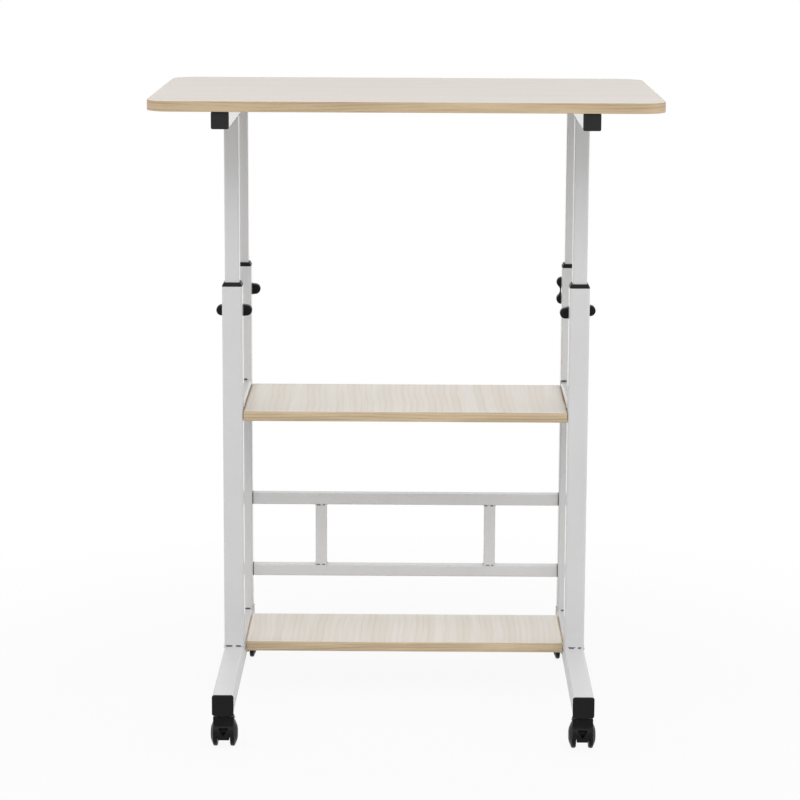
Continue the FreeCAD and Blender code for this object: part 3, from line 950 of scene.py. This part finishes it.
@dataclass
class Shelves(Assembly):
    """Middle and lower boards with their bands, tabs and screws.

    Attributes:
        reach: How much closer to the frame a band's ends come than those of the solid.
        corner: Radius of a band's upright corners.
        rounding: Radius of a band's rims.
        corner_points: Points along a corner.
        rim_points: Points along a rim.
    """

    reach: float = 0.6 * MM
    corner: float = 2.0 * MM
    rounding: float = 0.5 * MM
    corner_points: int = 7
    rim_points: int = 5

    def dress(self) -> None:
        """Give the boards, tabs and screws their finishes."""
        self.palette.dress(Look.SHELF, "middle_shelf_board", "lower_shelf_board")
        self.palette.dress(Look.STEEL, "shelf_tabs")
        self.palette.dress(Look.ZINC, "shelf_screws")

    def outline(self, low: Vector, high: Vector, corner: float, inset: Array) -> Array:
        """Rounded rectangles inside a box, seen from above.

        Formula: at angle a, the point lies at the middle of its corner's circle plus (corner radius - inset)
        * (cos a, sin a), and each corner takes a quarter turn.

        Args:
            low: The box's low corner.
            high: Its high corner.
            corner: Radius of the corners.
            inset: How far inside the rectangle each line runs.

        Returns:
            Points of shape (round the rectangle, lines, 2).
        """
        middle = np.array((low + high) / 2)[:2]
        half = np.array((high - low) / 2)[:2] - corner
        angles = (np.arange(4)[:, None] + np.linspace(0, 1, self.corner_points)).ravel() * QUARTER
        signs = np.repeat([(1, 1), (-1, 1), (-1, -1), (1, -1)], self.corner_points, axis=0)
        way = columns(np.cos(angles), np.sin(angles))
        return (middle + half * signs)[:, None] + (corner - inset)[None, :, None] * way[:, None]

    def band_skin(self, shelf: str) -> Skin:
        """Band round a shelf's board.

        Formula: the band's section goes from the board's upper edge out to the rim, round it in a quarter
        circle, down, round the lower rim and back to the board, and is carried along the shelf's outline.

        Args:
            shelf: Which shelf.

        Returns:
            The closed surface.
        """
        inner_low, inner_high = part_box(f"{shelf}_shelf_board")
        low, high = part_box(f"{shelf}_shelf_edge_band")
        thickness = inner_low.y - low.y
        longer = X_WAY * self.reach
        rim = np.linspace(0, QUARTER, self.rim_points)
        inset = self.rounding * (1 - np.sin(rim))
        drop = self.rounding * (1 - np.cos(rim))
        outer = self.outline(low - longer, high + longer, self.corner, np.concatenate([inset, inset[::-1]]))
        inner = self.outline(inner_low, inner_high, self.corner - thickness, np.zeros(2))
        plan = np.concatenate([inner[:, :1], outer, inner[:, 1:]], axis=1)
        heights = np.concatenate([[high.z], high.z - drop, low.z + drop[::-1], [low.z]])
        return Skin.through_rings(columns(plan[..., 0], plan[..., 1], heights), loop=True)

    def build(self) -> None:
        """Make the bands of both shelves."""
        for shelf in ("middle", "lower"):
            self.palette.piece(f"{shelf}_shelf_band", self.band_skin(shelf), Look.SHELF_BAND, self.body,
                               f"{shelf}_shelf_edge_band")


@dataclass
class Clamps(Assembly):
    """Clamp screws behind the legs: chamfered nuts, threaded studs and lobed grips.

    Attributes:
        tip: Radius to the tip of a lobe.
        lobe: Radius of a lobe.
        valley: Radius between two lobes.
        lobes: How many lobes.
        hub: Radius and height of the hub in front of the lobes.
        boss: Radius and height of the boss behind them.
        edge: Rounding of the lobes' rims.
        blunt: Rounding of the hub's and of the boss's rim.
        foot: How much wider hub and boss are where the lobes begin.
        dish: Depth of the hollow round the boss.
        bore: Radius and depth of the hole for the stud.
        stud: Radius of the stud.
        pitch: Lead of its thread.
        thread: Depth of its thread.
        flats: Distance across the nut's flats.
        nut: Length of the nut.
        chamfer: Length of the nut's chamfers, and how much they take off per length.
        around: Points round a grip, a stud and a nut.
        turns: Turn of a grip's lobes in degrees, where it isn't 0.
    """

    tip: float = 22.3 * MM
    lobe: float = 6.7 * MM
    valley: float = 13.0 * MM
    lobes: int = 4
    hub: Pair = (9.0 * MM, 3.0 * MM)
    boss: Pair = (8.0 * MM, 2.0 * MM)
    edge: float = 2.4 * MM
    blunt: Pair = (0.6 * MM, 1.0 * MM)
    foot: Pair = (0.1 * MM, 0.4 * MM)
    dish: float = 0.7 * MM
    bore: Pair = (4.05 * MM, 12.05 * MM)
    stud: float = 4.0 * MM
    pitch: float = 1.25 * MM
    thread: float = 0.65 * MM
    flats: float = 13.0 * MM
    nut: float = 6.5 * MM
    chamfer: Pair = (0.55 * MM, 1.6)
    around: tuple[int, int, int] = (144, 40, 96)
    turns: dict[str, float] = field(default_factory=lambda: {"right_front": -6.0, "right_rear": 45.0})

    def lobed_radius(self, angles: Array) -> Array:
        """Polar radius of the grip's outline.

        Formula: near a lobe's middle the radius is that of a circle of the lobe's radius whose edge reaches
        the tip. Between two lobes it is that of a hollow circle that touches both and comes in as far as the
        valley.

        Args:
            angles: Angles from a lobe's middle, in radians.

        Returns:
            One radius per angle, in metres.
        """
        ring = self.tip - self.lobe
        half = math.pi / self.lobes
        across = ring * math.sin(half)
        inward = self.valley - ring * math.cos(half)
        hollow = (across ** 2 + inward ** 2 - self.lobe ** 2) / (2 * (self.lobe - inward))
        reach = self.valley + hollow
        share = self.lobe / (self.lobe + hollow)
        touch_x = ring + share * (reach * math.cos(half) - ring)
        touch_y = share * reach * math.sin(half)
        turn = np.abs((angles + half) % (2 * half) - half)
        back = half - turn
        on_lobe = ring * np.cos(turn) + np.sqrt(np.maximum(self.lobe ** 2 - (ring * np.sin(turn)) ** 2, 0))
        on_hollow = reach * np.cos(back) - np.sqrt(np.maximum(hollow ** 2 - (reach * np.sin(back)) ** 2, 0))
        return np.where(turn < math.atan2(touch_y, touch_x), on_lobe, on_hollow)

    def grip_skin(self, box: Box, turn: float) -> Skin:
        """Grip that swells from its hub into lobes and ends in a low boss.

        Formula: each ring blends a circle into the lobed outline. The blend is 0 on hub and boss and 1 on the
        rim, where the outline is drawn in along a quarter circle for the rounded edges.

        Args:
            box: Box of the CAD grip.
            turn: Turn of the lobes in degrees.

        Returns:
            The closed surface.
        """
        low, high = box
        hub, front = self.hub
        boss, boss_height = self.boss
        bore, bore_depth = self.bore
        hub_rim, boss_rim = self.blunt
        hub_foot, boss_foot = self.foot
        end = high.y - low.y
        back = end - boss_height
        before_lobes = front - 0.2 * MM
        neck = np.vstack([[[bore_depth, bore], [0, bore]], arc((hub_rim, hub - hub_rim), hub_rim, 180, 90, 5),
                          [[before_lobes, hub]]])
        crown = arc((end - boss_rim, boss - boss_rim), boss_rim, 90, 0, 6)
        rim, swell = arc((self.edge, 0), self.edge, 180, 90, 9).T
        drawn = self.edge - swell
        rise, fall = np.linspace(0, 1, 6), np.linspace(1, 0, 8)
        hollow = back - self.dish * np.sin(fall * np.pi) ** 2
        stations, circle, blend, inset = np.vstack([
            columns(*neck.T, 0, 0),
            columns(front, hub + hub_foot, rise, self.edge),
            columns(front + rim, hub, 1, drawn),
            columns(back - rim[::-1], hub, 1, drawn[::-1]),
            columns(hollow, boss + boss_foot, fall, self.edge),
            columns(*crown.T, 0, 0),
        ]).T[..., None]
        outline = self.lobed_radius(turn_angles(self.around[0]) - math.radians(turn))
        radii = (1 - blend) * circle + blend * (outline - inset)
        return Sweep(face_middle(box, -Y_WAY), Y_WAY, Z_WAY).skin(stations[:, 0], radii)

    def stud_skin(self, box: Box) -> Skin:
        """Threaded stud.

        Formula: the radius falls from the stud's radius by the thread's depth times a triangle wave of the
        place along the axis over the pitch less the angle over a full turn, and both ends are chamfered.

        Args:
            box: Box of the CAD stud.

        Returns:
            The closed surface.
        """
        low, high = box
        rings_per_turn, steepness, crest = 8, 1.15, 0.1
        length = high.y - low.y
        stations = np.linspace(0, length, int(length / self.pitch * rings_per_turn))
        phase = (stations[:, None] / self.pitch - turn_angles(self.around[1]) / (2 * np.pi)) % 1.0
        cut = np.clip(steepness * np.abs(2 * phase - 1) - crest, 0, 1)
        blunt = self.stud - self.thread + np.minimum(stations, length - stations)
        radii = np.minimum(self.stud - self.thread * cut, blunt[:, None])
        return Sweep(face_middle(box, -Y_WAY), Y_WAY, Z_WAY).skin(stations, radii)

    def nut_skin(self, seat: Vector) -> Skin:
        """Hexagonal nut with chamfered corners and a clear hole.

        Formula: the outside radius is half the distance across flats over the cosine of the angle from the
        nearest flat's middle, limited by a cone at each end. The rings run along the outside, back through
        the hole and close on themselves.

        Args:
            seat: Middle of the nut's seat on the leg.

        Returns:
            The closed surface.
        """
        rise, slope = self.chamfer
        corner = self.flats / math.sqrt(3)
        sixth = np.pi / 3
        angles = turn_angles(self.around[2]) + QUARTER
        hexagon = self.flats / 2 / np.cos(angles % sixth - sixth / 2)
        near = np.array([0, rise / 2, rise])
        depth = np.concatenate([near, self.nut - near[::-1]])
        limit = corner - slope * np.maximum(rise - np.minimum(depth, self.nut - depth), 0)
        outside = np.minimum(hexagon, limit[:, None])
        hole = np.full((2, len(angles)), self.bore[0])
        stations = np.concatenate([depth, depth[[-1, 0]]])
        return Sweep(seat, Y_WAY, Z_WAY).skin(stations, np.vstack([outside, hole]), loop=True)

    def build(self) -> None:
        """Build the nuts, studs and grips in place of the plain ones."""
        nuts = []
        for leg in LEGS:
            stud = self.stud_skin(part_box(f"{leg}_clamp_stud"))
            self.palette.piece(f"{leg}_threaded_stud", stud, Look.ZINC, f"{leg}_clamp_screw",
                               f"{leg}_clamp_stud")
            grip = self.grip_skin(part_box(f"{leg}_clamp_grip"), self.turns.get(leg, 0.0))
            self.palette.piece(f"{leg}_lobed_grip", grip, Look.PLASTIC, f"{leg}_clamp_handle",
                               f"{leg}_clamp_grip")
            seat = middle_of(f"{leg}_clamp_stud")
            seat.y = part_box(f"{leg}_leg")[1].y
            nuts.append(self.nut_skin(seat))
        self.palette.piece("chamfered_clamp_nuts", Skin.joined(nuts), Look.ZINC, self.body, "clamp_nuts")


@dataclass
class Castors(Assembly):
    """Twin-wheel castors: moulded hoods and wheels in place of the plain ones.

    Attributes:
        wheel: Radius of a wheel.
        tread: Width of its flat tread.
        width: Width of the wheel at its hub.
        hub: Radius of its hub.
        edge: Rounding of its tread's edges.
        recess: Radius from which its inner side is flat.
        bulge: Power with which its dome falls off.
        groove: Place and half width of its ring groove as shares of the way from hub to tread, and its depth.
        cap: Depth and radius of each line of the hub cap's profile.
        bore: Radius and depth of its axle hole.
        around: Points round a wheel.
        web: Width of the hood's web between the wheels.
        web_bend: Rounding of the web's front corner and of its sides.
        gap: Room between web and wheel.
        arch: Radius of the hood's arch over the wheels.
        crown: Outside radius of the mudguard.
        bend: Rounding of the mudguard's rims.
        floor: Height of the web's lower edge.
        trail: Distance from the stem to the axle.
        neck: How far the neck reaches before and behind the stem.
        pocket: Half width, height and depth of the V pressed into the front.
        pocket_rim: Width of the V's sloping sides, and of its upper rim as a share of its height.
        pocket_rise: Share of its depth that the V loses towards its top.
        wall: Thickness left behind the V.
    """

    wheel: float = 16.0 * MM
    tread: float = 5.8 * MM
    width: float = 8.6 * MM
    hub: float = 6.0 * MM
    edge: float = 2.0 * MM
    recess: float = 6.4 * MM
    bulge: float = 1.5
    groove: Triple = (0.62, 0.06, 0.35 * MM)
    cap: tuple[Pair, ...] = ((0.35 * MM, 5.7 * MM), (0.4 * MM, 5.2 * MM), (0.4 * MM, 3.72 * MM),
                             (0.08 * MM, 3.48 * MM), (0.0, 1.8 * MM), (0.0, 0.6 * MM))
    bore: Pair = (2.05 * MM, 6.5 * MM)
    around: int = 96
    web: float = 13.8 * MM
    web_bend: Pair = (1.5 * MM, 0.8 * MM)
    gap: float = 0.5 * MM
    arch: float = 17.0 * MM
    crown: float = 19.6 * MM
    bend: float = 1.2 * MM
    floor: float = 11.5 * MM
    trail: float = 8.0 * MM
    neck: float = 6.0 * MM
    pocket: Triple = (6.0 * MM, 10.0 * MM, 6.5 * MM)
    pocket_rim: Pair = (0.5 * MM, 0.05)
    pocket_rise: float = 0.55
    wall: float = 1.2 * MM

    def dress(self) -> None:
        """Give the axles, stems and nuts their finishes."""
        self.palette.dress(Look.ZINC, "castor_nuts", *[f"{leg}_castor_axle" for leg in LEGS])
        self.palette.dress(Look.BLACKENED, "castor_stems")

    def wheel_skin(self, axle: Vector) -> Skin:
        """Right-hand wheel: bore, flat inner side, tread, domed outer side with a ring groove, and a hub cap.

        Formula: a profile of width and radius turned about the axle. The dome's width falls from the hub to
        the tread with a power of the way out, less a narrow cosine groove.

        Args:
            axle: Middle of the axle.

        Returns:
            The closed surface.
        """
        bore, bore_depth = self.bore
        groove_place, groove_half, groove_depth = self.groove
        shoulder = self.wheel - self.edge
        cap_depth, cap_radius = np.transpose(self.cap)
        near_tread, lines = 0.97, 30
        out = np.linspace(near_tread, 0.0, lines)
        from_groove = np.minimum(np.abs(out - groove_place) / groove_half, 1)
        sunk = groove_depth * np.cos(from_groove * QUARTER)
        dome = self.width - (self.width - self.tread) * out ** self.bulge - sunk
        profile = np.vstack([
            [[bore_depth, bore], [0, bore], [0, self.recess]],
            arc((self.edge, shoulder), self.edge, 180, 90, 6),
            arc((self.tread - self.edge, shoulder), self.edge, 90, 20, 6),
            columns(dome, self.hub + out * (shoulder - self.hub)),
            columns(self.width - cap_depth, cap_radius),
        ])
        inner_side = axle + X_WAY * (self.web / 2 + self.gap)
        radii = np.repeat(profile[:, 1:], self.around, axis=1)
        return Sweep(inner_side, X_WAY, Y_WAY).skin(profile[:, 0], radii)

    def head_turns(self, axle: Vector, high: Vector) -> tuple[Array, Array]:
        """Angles from behind the axle to the front, and the head's outer radius at each.

        Formula: the outer radius is the mudguard's or, past a step that eases in over one degree, the neck's
        where that is greater. The neck's flat top and upright front meet in a soft corner: its radius to a
        high negative power is the sum of both their radii to that power.

        Args:
            axle: Middle of the axle.
            high: Highest corner of the CAD hood.

        Returns:
            Angles in radians and radii in metres.
        """
        corner_power, nearly_zero = 50.0, 1e-3
        top = high.z - axle.z
        front, rear = self.trail + self.neck, self.trail - self.neck
        behind = math.degrees(math.acos((high.y - axle.y) / self.crown))
        step = math.degrees(math.atan2(top, -rear))
        brow = math.degrees(math.atan2(top, -front))
        ledge = math.degrees(math.acos(-front / self.crown))
        # Rings lie closer at the step, at the neck's upper edge and where its front meets the mudguard.
        starts = [behind, step - 0.4, step + 1.4, brow - 3, brow + 3, ledge - 1, ledge + 1]
        ends = [*starts[1:], 180.0]
        counts = [24, 10, 10, 13, 10, 7, 44]
        runs = [np.linspace(*run, endpoint=False) for run in zip(starts, ends, counts)]
        degrees = np.concatenate([*runs, ends[-1:]])
        angles = np.radians(degrees)
        to_top = top / np.maximum(np.sin(angles), nearly_zero)
        to_front = front / np.maximum(-np.cos(angles), nearly_zero)
        neck = (to_top ** -corner_power + to_front ** -corner_power) ** (-1 / corner_power)
        rise = np.clip(degrees - step, 0, 1)
        return angles, self.crown + np.maximum(neck - self.crown, 0) * rise ** 2 * (3 - 2 * rise)

    def head_section(self, half_width: float) -> tuple[Array, Array, Array]:
        """Section of the head: a rounded oblong that runs along the arch, out, back along the outside and in.

        Formula: along both straight runs the level is 0. Round a rim, at angle a, the place across goes out
        by the bend * sin a, and the level is 1 - cos a from the arch and -1 - cos a to the outside.

        Args:
            half_width: Half the head's width.

        Returns:
            Places across, levels as shares of the bend, and 1 on the outside or 0 on the arch.
        """
        straight, curved, first_angle = 49, 5, 0.2
        side, flat = half_width - self.bend, half_width - 2 * self.bend
        ease_in, ease_out = np.linspace(first_angle, QUARTER, curved), np.linspace(QUARTER, np.pi, curved)
        rim = side + self.bend * np.sin(np.concatenate([ease_in, ease_out]))
        corner = np.concatenate([1 - np.cos(ease_in), -1 - np.cos(ease_out)])
        level = np.zeros(straight)
        across = np.concatenate([np.linspace(-side, side, straight), rim, np.linspace(flat, -flat, straight),
                                 -rim[::-1]])
        outside = np.repeat([0, 1, 0], [straight + curved, straight + 2 * curved, curved])
        return across, np.concatenate([level, corner, level, corner[::-1]]), outside

    def head_skin(self, axle: Vector, box: Box) -> Skin:
        """Hood's head: a mudguard round the wheels, with a neck that rises to a flat top round the stem.

        Formula: the angle runs round the axle from behind to the front, and at each angle the section lies
        between the arch's radius and the outer radius. A V that deepens downwards is pressed into the front,
        and the arch behind it goes back by as much as the wall needs.

        Args:
            axle: Middle of the axle.
            box: Box of the CAD hood.

        Returns:
            The closed surface.
        """
        low, high = box
        least_room = 2.2
        angles, outer = (row[:, None] for row in self.head_turns(axle, high))
        across, level, outside = self.head_section((high.x - low.x) / 2)
        sine, cosine = np.sin(angles), np.cos(angles)
        half, top, depth = self.pocket
        side_rim, top_rim = self.pocket_rim
        height = outer * sine / top
        climb = np.clip(height, 0, 1)
        reach = half * climb + self.wall * (1 - outside)
        mask = np.clip((reach - np.abs(across)) / side_rim, 0, 1) * np.clip((1 - height) / top_rim, 0, 1)
        sunk = depth * (1 - self.pocket_rise * climb) * mask * (cosine < 0)
        spare = outer - self.arch - self.wall
        pressed = np.where(outside, sunk, np.maximum(sunk - spare, 0))
        soft = np.minimum(self.bend, (outer - self.arch) / least_room)
        radius = np.where(outside, outer, self.arch) + soft * level - pressed
        return Skin.through_rings(columns(axle.x + across, axle.y + radius * cosine, axle.z + radius * sine))

    def web_skin(self, axle: Vector) -> Skin:
        """Web between the wheels: an upright slab with a round lug for the axle.

        Formula: a closed outline of straight runs and arcs in the upright plane, drawn in at both sides of
        the web along a quarter circle.

        Args:
            axle: Middle of the axle.

        Returns:
            The closed surface.
        """
        bend, soft = self.web_bend
        inside, overlap, spare = 0.3 * MM, 0.2 * MM, 1.0 * MM
        lug = axle.z - self.floor
        front = self.crown - inside
        pocket_start, pocket_ease = 138, 6
        turn = np.linspace(90, 178, 45)
        behind_pocket = np.clip((turn - pocket_start) / pocket_ease, 0, 1)
        hidden = self.arch + overlap - (self.pocket[2] - spare) * behind_pocket
        outline = np.vstack([
            arc((-front + bend, -lug + bend), bend, 180, 270, 7),
            arc((0, 0), lug, -90, 90, 25),
            columns(hidden * np.cos(np.radians(turn)), hidden * np.sin(np.radians(turn))),
            [[-front, inside]],
        ])
        ease = np.linspace(0, QUARTER, 5)
        drawn = soft * (1 - np.sin(np.concatenate([ease, ease[::-1]])))
        inward = soft * (1 - np.cos(ease)) - self.web / 2
        places = np.concatenate([inward, -inward[::-1]])[:, None]
        centre = outline.mean(axis=0)
        arm = outline - centre
        share = 1 - drawn[:, None] / np.linalg.norm(arm, axis=1)
        y, z = centre[:, None, None] + arm.T[:, None] * share
        return Skin.through_rings(columns(axle.x + places, axle.y + y, axle.z + z))

    def build(self) -> None:
        """Build the hood and wheels of each castor in place of the plain ones."""
        for leg in LEGS:
            castor = f"{leg}_castor"
            axle = middle_of(f"{castor}_axle")
            hood = Skin.joined([self.head_skin(axle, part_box(f"{castor}_hood")), self.web_skin(axle)])
            self.palette.piece(f"{castor}_moulded_hood", hood, Look.CASTOR, castor, f"{castor}_hood")
            right = self.wheel_skin(axle)
            wheels = {"right": right, "left": right.half_turned(axle)}
            for side, wheel in wheels.items():
                self.palette.piece(f"{castor}_{side}_domed_wheel", wheel, Look.CASTOR,
                                   f"{castor}_{side}_roller", f"{castor}_{side}_wheel")


@dataclass(frozen=True)
class Softbox:
    """Large soft lamp.

    Attributes:
        name: What it lights.
        place: Where it hangs, in metres.
        aim: What it points at.
        size: Length of its two sides.
        power: Its power in watts.
    """

    name: str
    place: Triple
    aim: Triple
    size: Pair
    power: float

    def build(self) -> None:
        """Hang the lamp, unseen by the camera."""
        lamp = bpy.data.lights.new(self.name, "AREA")
        lamp.shape = "RECTANGLE"
        lamp.size, lamp.size_y = self.size
        lamp.energy = self.power
        hung = bpy.data.objects.new(self.name, lamp)
        hung.location = self.place
        hung.rotation_euler = (Vector(self.aim) - Vector(self.place)).to_track_quat("-Z", "Y").to_euler()
        hung.visible_camera = False
        bpy.context.scene.collection.objects.link(hung)


@dataclass(frozen=True)
class Viewpoint:
    """Camera of the photograph, as fitted to the desk's edges.

    Attributes:
        place: Where the camera stands, in metres.
        yaw: Turn to the right, in degrees.
        pitch: Tilt down, in degrees.
        roll: Turn about the view, in degrees.
        focal: Focal length in pixels.
        picture: Side of the picture in pixels.
        sensor: Width of the sensor in millimetres.
    """

    place: Triple = (0.0153, -3.38395, 1.0214)
    yaw: float = -0.3726
    pitch: float = 10.6476
    roll: float = 0.258
    focal: float = 2771.4
    picture: float = 800.0
    sensor: float = 36.0

    def build(self) -> None:
        """Set up the camera and make it the scene's."""
        yaw, pitch, roll = (math.radians(angle) for angle in (self.yaw, self.pitch, self.roll))
        ahead = Vector((math.sin(yaw) * math.cos(pitch), math.cos(yaw) * math.cos(pitch), -math.sin(pitch)))
        level = Vector((math.cos(yaw), -math.sin(yaw), 0))
        upright = level.cross(ahead)
        right = level * math.cos(roll) + upright * math.sin(roll)
        above = upright * math.cos(roll) - level * math.sin(roll)
        data = bpy.data.cameras.new("photo camera")
        data.sensor_width = self.sensor
        data.lens = self.focal / self.picture * self.sensor
        camera = bpy.data.objects.new("photo camera", data)
        turn = Matrix((right, above, -ahead)).transposed()
        camera.matrix_world = Matrix.Translation(self.place) @ turn.to_4x4()
        bpy.context.scene.collection.objects.link(camera)
        bpy.context.scene.camera = camera


@dataclass(frozen=True)
class Studio:
    """White studio: floor, surroundings, lamps and camera.

    Attributes:
        floor_half: Half the side of the floor, in metres.
        floor_colour: Colour of the floor where it only carries light.
        floor_shadow: Strength of the shadow that the floor keeps.
        shadow_reach: Distances from the middle between which the shadow fades out.
        surround: Colour of the light from all round.
        backdrop_away: Distance of the wall behind the desk.
        backdrop_height: Its height.
        lamps: The lamps.
        viewpoint: The camera.
    """

    floor_half: float = 6.0
    floor_colour: Colour = grey(0.65)
    floor_shadow: float = 0.08
    shadow_reach: Pair = (0.45, 0.95)
    surround: Colour = (0.58, 0.58, 0.585, 1.0)
    backdrop_away: float = 4.5
    backdrop_height: float = 5.0
    lamps: tuple[Softbox, ...] = (
        Softbox("left softbox", (-2.0, -0.5, 1.6), (0.0, 0.0, 0.4), (1.6, 1.8), 11.5),
        Softbox("right softbox", (2.0, -0.5, 1.6), (0.0, 0.0, 0.4), (1.6, 1.8), 11.5),
        Softbox("front softbox", (0.0, -2.6, 2.4), (0.0, 0.0, 0.4), (4.8, 1.2), 37.0),
        Softbox("low right softbox", (2.2, -1.6, 0.8), (0.0, 0.0, 0.4), (1.4, 1.0), 3.0),
        Softbox("rear softbox", (0.0, 2.4, 1.8), (0.0, 0.0, 0.4), (2.4, 1.2), 9.0),
    )
    viewpoint: Viewpoint = Viewpoint()

    def build(self) -> None:
        """Set up the floor, the surroundings, the lamps and the camera."""
        bpy.context.scene.view_settings.view_transform = "Standard"
        self._floor()
        self._backdrop()
        self._surroundings()
        for lamp in self.lamps:
            lamp.build()
        self.viewpoint.build()

    @staticmethod
    def _sheet(name: str, *corners: Triple) -> Wiring:
        """Set up a flat sheet of the studio with a material that is still empty.

        Args:
            name: Name of the sheet.
            corners: Its four corners in order.

        Returns:
            Wiring of its material.
        """
        mesh = bpy.data.meshes.new(name)
        mesh.from_pydata(corners, [], [(0, 1, 2, 3)])
        sheet = bpy.data.objects.new(name, mesh)
        bpy.context.scene.collection.objects.link(sheet)
        material = bpy.data.materials.new(name.replace("_", " "))
        material.use_nodes = True
        material.node_tree.nodes.clear()
        mesh.materials.append(material)
        return Wiring(material.node_tree)

    @staticmethod
    def _shown(wiring: Wiring) -> Socket:
        """Tell rays that show the studio from rays that only carry its light.

        Args:
            wiring: Wiring of the material or the world.

        Returns:
            1 for rays of the camera, of reflections and through clear pieces, else 0.
        """
        path = wiring.add("ShaderNodeLightPath").outputs
        shown = wiring.math("MAXIMUM", path["Is Camera Ray"], path["Is Transmission Ray"])
        return wiring.math("MAXIMUM", shown, path["Is Glossy Ray"])

    def _glow(self, wiring: Wiring) -> Socket:
        """Colour that rays which show the studio see as white."""
        return wiring.mix(self._shown(wiring), self.surround, grey(1.0))

    def _floor(self) -> None:
        """Pale floor that looks white and keeps a faint shadow of the desk."""
        half = self.floor_half
        wiring = self._sheet("studio_floor", (-half, -half, 0), (half, -half, 0), (half, half, 0),
                             (-half, half, 0))
        plain = wiring.add("ShaderNodeBsdfDiffuse", {"Color": self.floor_colour})
        white = wiring.add("ShaderNodeEmission", {"Color": grey(1.0), "Strength": 1.0})
        place = wiring.add("ShaderNodeTexCoord").outputs["Object"]
        away = wiring.add("ShaderNodeVectorMath", {0: place}, operation="LENGTH").outputs["Value"]
        clear = wiring.spread(away, *self.shadow_reach, 1 - self.floor_shadow, 1.0)
        seen = wiring.math("MULTIPLY", self._shown(wiring), clear)
        both = wiring.add("ShaderNodeMixShader", {0: seen, 1: plain.outputs[0], 2: white.outputs[0]})
        wiring.add("ShaderNodeOutputMaterial", {"Surface": both.outputs[0]})

    def _backdrop(self) -> None:
        """White wall behind the desk, which reflections see as well as the camera."""
        half, away, height = self.floor_half, self.backdrop_away, self.backdrop_height
        wiring = self._sheet("studio_backdrop", (-half, away, 0), (half, away, 0), (half, away, height),
                             (-half, away, height))
        glow = wiring.add("ShaderNodeEmission", {"Color": self._glow(wiring), "Strength": 1.0})
        wiring.add("ShaderNodeOutputMaterial", {"Surface": glow.outputs[0]})

    def _surroundings(self) -> None:
        """Even surroundings that the camera and reflections see as white."""
        world = bpy.data.worlds.new("studio")
        bpy.context.scene.world = world
        world.use_nodes = True
        world.node_tree.nodes.clear()
        wiring = Wiring(world.node_tree)
        light = wiring.add("ShaderNodeBackground", {"Color": self._glow(wiring), "Strength": 1.0})
        wiring.add("ShaderNodeOutputWorld", {"Surface": light.outputs[0]})


def main() -> None:
    """Build the desk's sub-assemblies in order, then the studio."""
    logging.basicConfig(level=logging.INFO, format="%(name)s: %(message)s")
    palette = Palette()
    for assembly in (Tabletop, SideFrames, Ladder, Shelves, Clamps, Castors):
        part = assembly(palette)
        part.dress()
        part.build()
    Studio().build()


if __name__ == "__main__":
    main()
